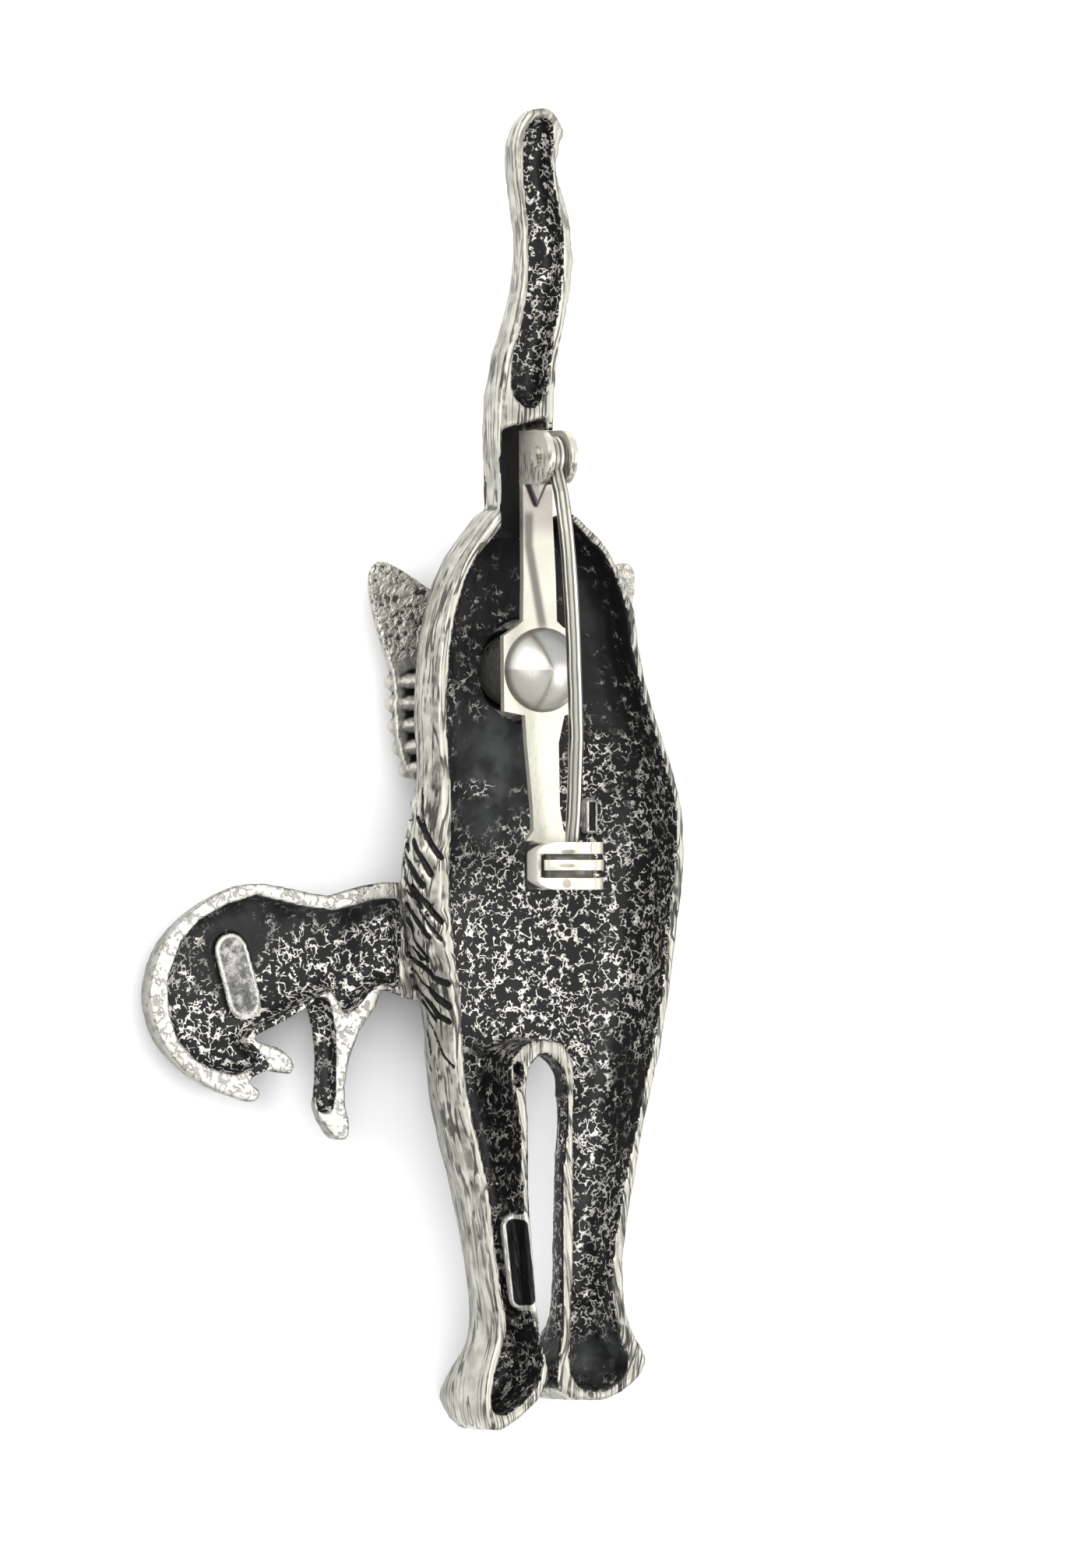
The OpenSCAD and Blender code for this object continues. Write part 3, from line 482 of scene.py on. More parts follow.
# %% [markdown]
# Grooves keep the patina and edges lose it. The distance from each vertex to the average of
# its neighbourhood says which is which: in a groove the average lies above the surface.

# %% Measure grooves and edges
GROOVE_DEPTH = 0.06 * MM
NEIGHBOURHOOD = 10

def grooves(mesh):
    """Above 0 in a groove and below 0 on an edge, about 1 for a full groove's depth."""
    points = points_of(mesh)
    average = evened(mesh, points, NEIGHBOURHOOD)
    rise = np.einsum("ij,ij->i", average - points, normals_of(mesh))
    return np.clip(rise / GROOVE_DEPTH, -1, 1)

for piece in (cat, head):
    set_layer(piece.data, "groove", grooves(piece.data))

# %% [markdown]
# The bright worms on the floors aren't the same everywhere. They are dense in the belly and
# in the kitten, and nearly absent beside the rivet. A few soft spots say how dense. A few
# more say where the black is rubbed grey and carries a painted sheen.

# %% Spread the worms
# middle x and y, half width and half height in millimetres, density added there
WORM_SPOTS = [
    (7.5, -11.5, 8.0, 5.5, 0.45),
    (11.0, -3.0, 3.5, 3.5, 0.30),
    (5.5, -0.5, 3.0, 3.2, -0.50),
    (11.5, 9.0, 4.5, 7.5, -0.27),
    (3.5, 11.5, 4.0, 5.0, -0.12),
    (4.0, -22.5, 2.0, 6.0, -0.12),
    (8.4, -25.0, 0.7, 9.0, -0.60),
    (11.5, -35.6, 2.0, 1.8, -0.35),
    (10.8, -24.0, 2.0, 9.0, 0.70),
    (9.7, -31.5, 0.8, 3.5, 0.60),
    (13.2, -22.0, 1.5, 8.0, -0.25),
    (-4.5, -12.5, 5.0, 2.2, 0.65),
    (-11.5, -15.8, 3.5, 3.2, 0.55),
    (-10.4, -12.4, 2.0, 2.9, -0.60),
    (-4.5, -8.2, 7.0, 1.6, -0.22),
    (6.5, 18.0, 3.0, 4.5, -0.60),
    (7.2, 32.0, 2.0, 12.0, 0.35),
    (4.8, -1.2, 1.5, 0.5, 1.0),
    (12.2, 0.7, 0.7, 1.3, 0.6),
    (12.8, -12.6, 1.4, 0.6, 0.5),
    (5.3, -15.2, 1.6, 0.7, 0.5),
]
WORM_BASE = 0.42
# middle x and y, half width and half height, greyness of the rubbed metal and its painted sheen
# there
RUBBED_SHEEN_SPOTS = [
    (5.4, -0.8, 1.9, 3.6, 1.0),
    (6.0, 3.5, 1.5, 1.8, 0.35),
    (11.5, -35.2, 2.0, 2.0, 0.9),
    (10.8, -26.0, 1.6, 6.5, 0.45),
    (-4.0, -7.5, 7.0, 1.5, 0.8),
]

def spotted(points, spots, base=0.0):
    amount = np.full(len(points), base)
    for x, y, half_x, half_y, change in spots:
        reach = ((points[:, 0] / MM - x) / half_x) ** 2 + ((points[:, 1] / MM - y) / half_y) ** 2
        amount += change * np.exp(-reach)
    return np.clip(amount, 0, 1)

set_layer(cat.data, "worms", spotted(points, WORM_SPOTS, WORM_BASE))
set_layer(cat.data, "rubbed", spotted(points, RUBBED_SHEEN_SPOTS))
print("layers:", [layer.name for layer in cat.data.attributes if layer.data_type == "FLOAT"])

# %% [markdown]
# ## Finishes
#
# A finish is a net of nodes. Two small classes keep the net readable: each call adds a node
# or a few, sets or links their inputs, and gives back the output that the next one needs.
# All patterns read Object coordinates, turned into millimetres, so that a scale of 2 means
# two cells in a millimetre. The net also carries the colour painted so far, and each stain
# is laid over it.

# %% A net of nodes and its arithmetic
class Net:
    def __init__(self, name):
        self.material = bpy.data.materials.new(name)
        self.material.use_nodes = True
        self.tree = self.material.node_tree
        self.shader = self.tree.nodes["Principled BSDF"]
        place = self.add("ShaderNodeTexCoord").outputs["Object"]
        self.mm = self.vector_math("MULTIPLY", place, (1 / MM,) * 3)
        self.colour = None

    def add(self, kind, inputs=None, **settings):
        node = self.tree.nodes.new(kind)
        for key, value in settings.items():
            setattr(node, key, value)
        for socket, value in (inputs or {}).items():
            self.feed(node.inputs[socket], value)
        return node

    def feed(self, socket, value):
        if isinstance(value, bpy.types.NodeSocket):
            self.tree.links.new(value, socket)
        else:
            socket.default_value = value

    def math(self, operation, *values):
        return self.add("ShaderNodeMath", dict(enumerate(values)), operation=operation).outputs[0]

    def vector_math(self, operation, *values):
        return self.add("ShaderNodeVectorMath", dict(enumerate(values)),
                        operation=operation).outputs[0]

    def plus(self, a, b):
        return self.math("ADD", a, b)

    def minus(self, a, b):
        return self.math("SUBTRACT", a, b)

    def most(self, a, b):
        return self.math("MAXIMUM", a, b)

    def times(self, first, *others):
        """The product of all the values."""
        for other in others:
            first = self.math("MULTIPLY", first, other)
        return first

    def gap(self, a, b):
        """How far apart two values are, without a sign."""
        return self.math("ABSOLUTE", self.minus(a, b))

    def length(self, x, y):
        """The distance to a place that lies x and y away."""
        return self.math("SQRT", self.plus(self.times(x, x), self.times(y, y)))

    def between(self, value, low, high, at_low, at_high):
        """Smoothly carries a value from one range to another, and stops at its ends."""
        return self.add("ShaderNodeMapRange", {
            "Value": value, "From Min": low, "From Max": high, "To Min": at_low,
            "To Max": at_high}, interpolation_type="SMOOTHSTEP").outputs["Result"]

    def rising(self, value, low, high):
        return self.between(value, low, high, 0.0, 1.0)

    def fading(self, value, low, high):
        return self.between(value, low, high, 1.0, 0.0)

    def window(self, value, rise, fall):
        """1 between two soft ends, each given as the range that it takes."""
        return self.times(self.rising(value, *rise), self.fading(value, *fall))

# %% [markdown]
# A finish is such a net with eyes and hands: it can read the place and the layers of a
# piece, lay patterns, and mix what they give. Blender's Mix node has sockets for each kind
# of value, and shows only some: 2 and 3 are its numbers, 6 and 7 its colours.

# %% Patterns and mixing
# squares of the distance from a spot's middle at which it starts to fade, and ends
SPOT_FADE = (0.4, 1.3)

class Finish(Net):
    def axis(self, name):
        """The x, y or z coordinate in millimetres."""
        return self.add("ShaderNodeSeparateXYZ", {0: self.mm}).outputs[name]

    def layer(self, name):
        return self.add("ShaderNodeAttribute", attribute_name=name).outputs["Fac"]

    def joined(self, x, y, z):
        return self.add("ShaderNodeCombineXYZ", {0: x, 1: y, 2: z}).outputs[0]

    def stretched(self, x, y, z):
        """The millimetre coordinates with a scale of their own along each axis."""
        return self.add("ShaderNodeMapping", {"Vector": self.mm, "Scale": (x, y, z)}).outputs[0]

    def noise(self, scale, detail=2.0, place=None, distortion=0.0):
        return self.add("ShaderNodeTexNoise", {
            "Vector": place or self.mm, "Scale": scale, "Detail": detail,
            "Distortion": distortion}).outputs["Fac"]

    def wander(self, scale, reach):
        """A noise that wanders round 0."""
        return self.times(self.minus(self.noise(scale), 0.5), reach)

    def spot(self, middle_x, middle_y, half_x, half_y):
        """1 on a soft oval spot."""
        x = self.math("DIVIDE", self.minus(self.axis("X"), middle_x), half_x)
        y = self.math("DIVIDE", self.minus(self.axis("Y"), middle_y), half_y)
        out = self.plus(self.times(x, x), self.times(y, y))
        return self.fading(out, *SPOT_FADE)

    def ramp(self, value, low, high, stops):
        """Colours or numbers along a range; each stop is a place in it and what is there."""
        share = self.add("ShaderNodeMapRange", {"Value": value, "From Min": low, "From Max": high})
        node = self.add("ShaderNodeValToRGB", {"Fac": share.outputs["Result"]})
        cells = node.color_ramp.elements
        while len(cells) < len(stops):
            cells.new(1.0)
        for cell, (place, what) in zip(cells, stops):
            cell.position = (place - low) / (high - low)
            cell.color = (*what, 1) if isinstance(what, tuple) else (what, what, what, 1)
        return node.outputs["Color"]

    def mix(self, share, a, b):
        """Colours a and b mixed by a share; a colour is a tuple or another node's output."""
        a, b = ((*c, 1) if isinstance(c, tuple) else c for c in (a, b))
        node = self.add("ShaderNodeMix", data_type="RGBA")
        self.feed(node.inputs["Factor"], share)
        self.feed(node.inputs[6], a)
        self.feed(node.inputs[7], b)
        return node.outputs[2]

    def blend(self, share, a, b):
        """Numbers a and b mixed by a share."""
        node = self.add("ShaderNodeMix", data_type="FLOAT")
        self.feed(node.inputs["Factor"], share)
        self.feed(node.inputs[2], a)
        self.feed(node.inputs[3], b)
        return node.outputs[0]

    def stain(self, share, colour, strength=1.0):
        """Lays a colour over what is painted so far."""
        self.colour = self.mix(self.times(share, strength), self.colour, colour)

    def finished(self, metal, rough, relief, depth):
        """The material, with a relief of that real depth in millimetres."""
        bump = self.add("ShaderNodeBump", {"Height": relief, "Distance": depth * MM,
                                           "Strength": 1.0})
        looks = {"Base Color": self.colour, "Metallic": metal, "Roughness": rough,
                 "Normal": bump.outputs["Normal"]}
        for name, value in looks.items():
            self.feed(self.shader.inputs[name], value)
        print(self.material.name, "uses", len(self.tree.nodes), "nodes")
        return self.material

# %% [markdown]
# ## Antiqued pewter
#
# One material covers the whole casting, because its finishes run into each other. It is
# built as the real finish is: worn silver first, then the patina in the fur and the cuts,
# then the plates, and last the black of the hollows with the bright worms on it.

# %% Shades of the pewter
BLACK = (0.006, 0.006, 0.0065)
RUBBED_SHEEN = (0.070, 0.073, 0.075)
WORM = (0.74, 0.72, 0.66)
SILVER = (0.30, 0.293, 0.250)
BRIGHT = (0.50, 0.488, 0.43)
STROKE = (0.011, 0.011, 0.010)
PLATE_EDGE = (0.62, 0.61, 0.56)
PEWTER_GLOSS = 0.25

def pewter(name):
    """A finish with the faint gloss of pewter."""
    f = Finish(name)
    f.shader.inputs["Specular IOR Level"].default_value = PEWTER_GLOSS
    return f

# %% [markdown]
# The worms are thin bent lines of an even width. Noise gives blobs, so we take the edges
# between scattered cells instead, and twist the cells first so that no edge stays straight.
# Another noise breaks the lines up.

# %% Worms on the floors
# cells in a millimetre and width of a line in millimetres, then the scale and range of gaps
COARSE_WORMS = (1.3, 0.080, 1.7, 0.45, 0.51)
FINE_WORMS = (1.8, 0.066, 2.1, 0.52, 0.57)
# the noise that bends the lines: its scale and its reach, both counted in cells
TWIST_SCALE, TWIST_REACH = 1.7, 1.1
# shares of the width at which a line starts to fade, and at which it ends
LINE_FADE = (0.35, 0.75)
# densities at which the first worms show, and at which all do
DENSITY = (0.22, 0.72)

def crackle(f, scale, wide):
    """Thin bent lines of an even width: the edges of twisted cells."""
    twist = f.add("ShaderNodeTexNoise", {"Vector": f.mm, "Scale": TWIST_SCALE * scale,
                                         "Detail": 1.0}).outputs["Color"]
    twist = f.vector_math("SUBTRACT", twist, (0.5,) * 3)
    place = f.vector_math("MULTIPLY_ADD", twist, (TWIST_REACH / scale,) * 3, f.mm)
    cells = f.add("ShaderNodeTexVoronoi", {"Vector": place, "Scale": scale},
                  feature="DISTANCE_TO_EDGE").outputs["Distance"]
    return f.fading(cells, *(share * wide * scale for share in LINE_FADE))

def broken_crackle(f, scale, wide, gap_scale, low, high):
    return f.times(crackle(f, scale, wide), f.rising(f.noise(gap_scale, 1.0), low, high))

def floor_worms(f):
    """Worms where their density allows them."""
    lines = f.most(broken_crackle(f, *COARSE_WORMS), broken_crackle(f, *FINE_WORMS))
    density = f.plus(f.layer("worms"), f.wander(1.1, 1.0))
    return f.times(lines, f.rising(density, *DENSITY))

def floor_colour(f, worms):
    # grey where the black is rubbed, together with a painted sheen
    rubbed = f.times(f.layer("rubbed"), f.rising(f.noise(0.6), 0.3, 0.7))
    return f.mix(worms, f.mix(rubbed, BLACK, RUBBED_SHEEN), WORM)

def blackened(f):
    """1 in the hollows, with a ragged edge. A cut is pressed in too, but isn't a hollow."""
    ragged = f.plus(f.layer("hollow"), f.wander(3.0, 0.5))
    return f.times(f.rising(ragged, 0.44, 0.56), f.fading(f.layer("cut"), 0.10, 0.25))

# %% [markdown]
# The fine fur is painted. Hairs lie where a long stretched noise passes its middle value,
# which gives thin lines that start, bend and end. The gaps between locks lie where it is
# lowest, which gives spindles. On the flank both are turned, because the fur slants there.

# %% Strokes of the fur
# each way of the fur: its turn, then cells in a millimetre across and along a hair and a lock
STRAIGHT = {"turn": 0.0, "hair": (2.9, 0.15), "lock": (3.0, 0.26)}
SLANTED = {"turn": math.radians(-42), "hair": (2.9, 0.22), "lock": (3.0, 0.30)}
# scale up the wall, as a share of the scale across it
FUR_UP = 0.55
# how far from its middle the noise is where a hair starts to fade, and where it ends
HAIR_FADE = (0.022, 0.055)
LOCK_GAP = (0.33, 0.36)
# ranges of y in which the slanted fur starts and ends, the paws end and the tail starts
FLANK = ((-34.0, -24.0), (-1.5, 0.5))
PAW_TOP = (-34.0, -30.0)
TAIL_ROOT = (23.0, 29.0)
# range of the layer named facing in which a wall turns into a flat rim
TO_RIM = (0.75, 0.95)
# strength of the locks on rims, and of all fur on the tail
RIM_LOCKS, TAIL_FUR = 0.25, 0.7

def fur_place(f, way, kind):
    """Coordinates that bend with the cat's outline, then turned and stretched."""
    across, along = way[kind]
    flow = f.times(f.layer("flow"), 1 / MM)
    place = f.joined(flow, f.axis("Y"), f.axis("Z"))
    return f.add("ShaderNodeMapping", {"Vector": place, "Rotation": (way["turn"], 0, 0),
                                       "Scale": (across, along, FUR_UP * across)}).outputs[0]

def hairs(f, way):
    """Thin dark lines, stronger in some places than in others."""
    wave = f.noise(1.0, 1.0, fur_place(f, way, "hair"), distortion=0.3)
    lines = f.fading(f.gap(wave, 0.5), *HAIR_FADE)
    return f.times(lines, f.between(f.noise(0.9, 1.0), 0.36, 0.52, 0.30, 1.0))

def locks(f, way):
    """Dark spindle-shaped gaps between locks."""
    return f.fading(f.noise(1.0, 2.0, fur_place(f, way, "lock")), *LOCK_GAP)

def fur(f):
    """Hairs and locks; the locks stop at the paws and are faint on the flat rims."""
    y = f.axis("Y")
    flank = f.window(y, *FLANK)
    fine = f.blend(flank, hairs(f, STRAIGHT), hairs(f, SLANTED))
    bold = f.blend(flank, locks(f, STRAIGHT), locks(f, SLANTED))
    on_rims = f.between(f.layer("facing"), *TO_RIM, 1.0, RIM_LOCKS)
    bold = f.times(bold, f.rising(y, *PAW_TOP), on_rims)
    return f.times(f.most(fine, bold), f.between(y, *TAIL_ROOT, 1.0, TAIL_FUR))

# %% The kitten's rough edges
# the kitten lies lower than its mother and left of her; ranges of z and x where it ends
KITTEN_TOP, KITTEN_SIDE = (4.95, 5.3), (-1.5, -0.5)
KITTEN_CRACKLE = (1.7, 0.10, 1.7, 0.45, 0.55)
KITTEN_ROUGHNESS = 0.55

def on_kitten(f):
    return f.times(f.fading(f.axis("Z"), *KITTEN_TOP), f.fading(f.axis("X"), *KITTEN_SIDE))

def rough_edges(f):
    """Crackle and pits, which the kitten has in place of fur."""
    pits = f.fading(f.noise(2.2, distortion=0.6), 0.32, 0.38)
    return f.times(f.most(broken_crackle(f, *KITTEN_CRACKLE), pits), KITTEN_ROUGHNESS)

# %% [markdown]
# The layer named facing says how far the metal faces up: 1 on a flat rim, 0 on an upright
# wall and below 0 underneath. Cloth rubs edges bright, so that layer and the one named
# groove place the wear. The darkening underneath is painted shade.

# %% Worn walls and rims
# ranges of the layer named facing
SHADED_UNDERNEATH = (-0.5, 0.0)
LEVEL = (0.6, 0.95)
SHOULDER = ((0.30, 0.50), (0.60, 0.80))
SHADED_STEEP = (0.2, 0.75)
# lines drawn along the right wall: their scale on each axis, and x where they start
DRAWN_SCALE, DRAWN_FROM = (4.5, 0.35, 1.0), (11.0, 12.0)

def worn_silver(f, kitten):
    """Silver: bright where it is rubbed, dull on the mother's level rims, with painted shade
    underneath.
    """
    facing = f.layer("facing")
    level = f.rising(facing, *LEVEL)
    f.colour = f.mix(f.rising(f.noise(0.8, 4.0), 0.35, 0.68), SILVER, BRIGHT)
    f.stain(f.fading(f.layer("groove"), -0.7, -0.15), BRIGHT)
    # painted shade underneath, where the metal faces down
    f.stain(f.fading(facing, *SHADED_UNDERNEATH), STROKE, strength=0.75)
    f.stain(level, SILVER, strength=0.45)
    f.stain(f.times(level, kitten), PLATE_EDGE)
    patches = f.between(f.noise(1.2), 0.35, 0.6, 0.1, 0.6)
    f.stain(f.times(f.window(facing, *SHOULDER), patches), STROKE)

def patina(f, strokes, kitten):
    """Black in the fur, drawn lines, cuts and grooves; painted shade on the kitten's steep sides.
    """
    f.stain(strokes, STROKE, strength=0.85)
    # painted shade on the kitten's steep sides
    f.stain(f.times(f.fading(f.layer("facing"), *SHADED_STEEP), kitten), STROKE, strength=0.25)
    drawn = f.fading(f.noise(1.0, place=f.stretched(*DRAWN_SCALE)), 0.40, 0.48)
    f.stain(f.times(drawn, f.rising(f.axis("X"), *DRAWN_FROM)), STROKE, strength=0.75)
    groove = f.times(f.rising(f.layer("groove"), 0.25, 0.8), 0.8)
    f.stain(f.most(f.rising(f.layer("cut"), 0.26, 0.48), groove), STROKE)

# %% [markdown]
# Three raised places stand on the floors: a plate in the kitten, a plate in the leg, and a
# small lug. Their borders are rubbed bright and their fields stay dark. The kitten's plate
# is soft enough for the layer of plates. The leg's plate and the lug have crisp borders, so
# their paint works out the distance to the border itself.

# %% Plates and lug
FIELD = (0.065, 0.065, 0.062)
LEG_FIELD = (0.012, 0.012, 0.012)
# range of y below which a plate is the leg's
LEG_BEGINS = (-20.0, -18.0)
# counted in radii: where its dark field ends, and where the plate itself ends
LEG_PLATE_FIELD, LEG_PLATE_EDGE = (0.56, 0.66), (1.0, 1.08)
# range of z in which its top starts
LEG_PLATE_TOP = (7.9, 8.0)
LUG_MIDDLE, LUG_HALF = (12.18, -2.875), (0.40, 1.05)
# counted in millimetres out from the lug's edge: where its field ends, and where it ends
LUG_FIELD, LUG_EDGE = (-0.20, -0.14), (0.02, 0.08)
LUG_TOP = (5.1, 5.3)

def soft_plates(f):
    """A bright border round a darker, mottled field."""
    plate = f.layer("plate")
    f.stain(f.rising(plate, 0.3, 0.6), PLATE_EDGE)
    mottled = f.between(f.noise(1.6), 0.3, 0.6, 0.35, 0.9)
    field = f.mix(f.fading(f.axis("Y"), *LEG_BEGINS), FIELD, LEG_FIELD)
    f.stain(f.times(f.rising(plate, 0.80, 0.95), mottled), field)

def out_on_plate(f, a, b, radius):
    """How far out on a plate: 0 on its middle line from a to b, 1 at its edge.

    t says where on that line a point has its foot, from 0 at a to 1 at b. The distance
    from the foot, divided by the radius, is the answer."""
    run, rise = b[0] - a[0], b[1] - a[1]
    x, y = f.minus(f.axis("X"), a[0]), f.minus(f.axis("Y"), a[1])
    square = run ** 2 + rise ** 2
    t = f.plus(f.times(x, run / square), f.times(y, rise / square))
    t = f.math("MINIMUM", f.most(t, 0.0), 1.0)
    away = f.length(f.minus(x, f.times(t, run)), f.minus(y, f.times(t, rise)))
    return f.math("DIVIDE", away, radius)

def leg_plate(f):
    out = out_on_plate(f, *LEG_PLATE[:3])
    paint = f.mix(f.rising(out, *LEG_PLATE_FIELD), LEG_FIELD, PLATE_EDGE)
    on_top = f.times(f.rising(f.axis("Z"), *LEG_PLATE_TOP), f.fading(out, *LEG_PLATE_EDGE))
    f.stain(on_top, paint)

def small_lug(f):
    over_x, over_y = (f.minus(f.gap(f.axis(axis), middle), half)
                      for axis, middle, half in zip("XY", LUG_MIDDLE, LUG_HALF))
    out = f.most(over_x, over_y)
    paint = f.mix(f.rising(out, *LUG_FIELD), LEG_FIELD, PLATE_EDGE)
    f.stain(f.times(f.fading(out, *LUG_EDGE), f.rising(f.axis("Z"), *LUG_TOP)), paint)

# %% Put the casting's finish together
WALL_METAL, WORM_METAL = 0.60, 0.5
WALL_ROUGHNESS, FLOOR_ROUGHNESS = 0.42, 0.48
PEWTER_RELIEF = 0.08

def antiqued_pewter():
    f = pewter("antiqued_pewter")
    kitten, worms, dark = on_kitten(f), floor_worms(f), blackened(f)
    strokes = f.blend(kitten, fur(f), rough_edges(f))
    worn_silver(f, kitten)
    patina(f, strokes, kitten)
    soft_plates(f)
    leg_plate(f)
    small_lug(f)
    f.stain(dark, floor_colour(f, worms))
    return f.finished(metal=f.blend(dark, WALL_METAL, f.times(worms, WORM_METAL)),
                      rough=f.blend(dark, WALL_ROUGHNESS, FLOOR_ROUGHNESS),
                      relief=f.blend(dark, f.times(strokes, -1.0), worms),
                      depth=PEWTER_RELIEF)

cat.data.materials.append(antiqued_pewter())

# %% [markdown]
# The head is a casting of its own, without fur. What the picture shows of it is grain: a
# coarse one on the ear and a calmer one on the cheeks, black in its pits.

# %% Grainy pewter of the head
HEAD_SILVER = (0.28, 0.275, 0.25)
EAR_SILVER = (0.40, 0.39, 0.345)
# range of y in which the cheeks end and the ears start
EAR_BEGINS = (6.2, 7.2)
# the cheeks' grain is drawn towards one level, by this share
CHEEK_LEVEL, CHEEK_CALM = 0.56, 0.75
# range of x in which the head's right side turns brighter
RIGHT_SIDE = (8.0, 12.0)
HEAD_METAL, HEAD_ROUGHNESS, HEAD_RELIEF = 0.75, 0.42, 0.25

def grainy_pewter():
    f = pewter("grainy_pewter")
    groove = f.layer("groove")
    grain = f.noise(2.3, 3.0, distortion=0.8)
    ear = f.rising(f.axis("Y"), *EAR_BEGINS)
    grain = f.blend(ear, f.blend(CHEEK_CALM, grain, CHEEK_LEVEL), grain)
    f.colour = f.mix(ear, HEAD_SILVER, EAR_SILVER)
    f.stain(f.rising(grain, 0.50, 0.66), BRIGHT)
    f.stain(f.fading(groove, -0.8, -0.2), BRIGHT)
    pits = f.times(f.fading(grain, 0.36, 0.48), 0.85)
    f.stain(f.most(pits, f.rising(groove, 0.10, 0.5)), STROKE)
    f.stain(f.rising(f.axis("X"), *RIGHT_SIDE), BRIGHT, strength=0.6)
    return f.finished(HEAD_METAL, HEAD_ROUGHNESS, grain, HEAD_RELIEF)

head.data.materials.append(grainy_pewter())

# %% [markdown]
# ## Bright nickel
#
# The pin back is thin sheet and wire with a bright plating. It is smooth, so what it shows
# is mostly a picture of the room, drawn out along each form: fans on the domed rivet,
# long stripes on the wire and a soft streak on the dished strip. Each finish below paints
# those reflections into its colour, with painted shade and a few stains and worn marks,
# where they lie on its own piece, in millimetres.

# %% Worn plating
CREAM = (0.68, 0.665, 0.565)
DULL = (0.61, 0.595, 0.505)
# a painted highlight on the catch shell's left part
PAINTED_HIGHLIGHT = (0.92, 0.90, 0.80)
# stains, and also the strip's painted reflection of a streak and the rivet's ring of painted shade
STAIN_AND_SHADE = (0.12, 0.105, 0.09)
ROSE = (0.33, 0.30, 0.27)
SHADE = (0.02, 0.019, 0.018)
PLATING_METAL = 0.45
PLATING_ROUGHNESS = (0.24, 0.38)
HAIRLINE_RELIEF = 0.0015

class Plating(Finish):
    """Fine hairlines along y, and a slow wander between two shades of the plating."""
    def __init__(self, name):
        super().__init__(name)
        self.hairlines = self.noise(4.0, 3.0, self.stretched(3, 0.4, 3))
        self.colour = self.mix(self.rising(self.noise(0.5, 3.0), 0.3, 0.7), CREAM, DULL)

    def plated(self):
        rough = self.between(self.hairlines, 0.2, 0.8, *PLATING_ROUGHNESS)
        return self.finished(PLATING_METAL, rough, self.hairlines, HAIRLINE_RELIEF)

# %% [markdown]
# The strip is dished, so its upper half shows one dark streak, a painted reflection that
# leans to the right on its way down, and it turns rosy towards the hinge. There a pointed
# stop is folded up between two worn cheeks.

# %% The strip's streak and the hinge's end
# ranges of y, and pairs of them where something starts and ends
UPPER_HALF = (7.0, 9.0)
ROSY_TOP = ((13.6, 15.0), (16.6, 17.2))
STREAK_ENDS = ((7.8, 9.0), (15.2, 15.8))
CHEEKS = ((17.0, 17.6), (18.8, 19.4))
STOP_FOOT = (17.25, 17.4)
# where the streak starts to lean, its lean for each millimetre down, its soft half width
STREAK_TOP, STREAK_LEAN = (6.65, 13.5), 0.187
STREAK_HALF = (0.108, 0.468)
# the stop's tip, its half width for each millimetre up, and how softly its paint starts
STOP_TIP, STOP_SLOPE, STOP_SOFT = (7.12, 15.875), 0.45, 0.15
STOP_OUTLINE = (0.10, 0.20)

def streak(f):
    y = f.axis("Y")
    f.stain(f.rising(y, *UPPER_HALF), ROSE, strength=0.30)
    f.stain(f.window(y, *ROSY_TOP), ROSE, strength=0.8)
    # the dark streak is a painted reflection
    below = f.most(f.minus(STREAK_TOP[1], y), 0.0)
    line = f.plus(f.times(below, STREAK_LEAN), STREAK_TOP[0])
    middle = f.fading(f.gap(f.axis("X"), line), *STREAK_HALF)
    f.stain(f.times(middle, f.window(y, *STREAK_ENDS)), STAIN_AND_SHADE, strength=0.92)

def worn_cheeks(f):
    worn = f.fading(f.noise(1.0, place=f.stretched(7, 0.8, 7)), 0.42, 0.52)
    f.stain(f.times(worn, f.window(f.axis("Y"), *CHEEKS)), STAIN_AND_SHADE, strength=0.85)

def pointed_stop(f):
    """A triangle on its tip, with an outline of painted shade and a dull left half."""
    x, y = f.axis("X"), f.axis("Y")
    from_middle = f.gap(x, STOP_TIP[0])
    half = f.times(f.minus(y, STOP_TIP[1]), STOP_SLOPE)
    short_of_foot = f.fading(y, *STOP_FOOT)
    within = f.rising(f.minus(half, from_middle), 0.0, 0.08)
    left = f.fading(x, STOP_TIP[0], STOP_TIP[0] + STOP_SOFT)
    f.stain(f.times(within, short_of_foot, left), ROSE, strength=0.9)
    # an outline of painted shade round the stop
    outline = f.fading(f.gap(from_middle, half), *STOP_OUTLINE)
    begun = f.rising(y, STOP_TIP[1] - STOP_SOFT, STOP_TIP[1])
    f.stain(f.times(outline, begun, short_of_foot), SHADE, strength=0.9)

# %% [markdown]
# At its other end the strip is rolled into the catch's open shell. A painted highlight
# lightens the shell's left part. Two pale bands stand beside a slot of painted shade for the
# lever, and painted shade lies under the shell's round left end.

# %% The catch's shell
# the shell lies below this range of y, and its painted highlight left of this range of x
SHELL_BEGINS, SHELL_HIGHLIT = (-4.7, -4.4), (6.9, 7.2)
SLOT_Y, SLOT_HALF, SLOT_SOFT = -5.86, 0.68, 0.05
SLOT_ENDS = ((6.25, 6.35), (6.95, 7.05))
# half the straight height of the shell's left end, and the slope and foot of the shade there
SHELL_CORNER = (0.60, 2.3, 8.9)
SHADE_SOFT = (-0.15, 0.15)
# ranges of x and y that hold the shade to the shell's left end
SHADE_X, SHADE_Y = (6.9, 7.1), (-4.4, -4.3)
# middle x and y, half width and half height of the worn marks on the shell's bands
BAND_MARKS = [(7.43, -4.98, 0.45, 0.15), (7.35, -6.88, 0.28, 0.32), (8.95, -4.80, 0.06, 0.35)]

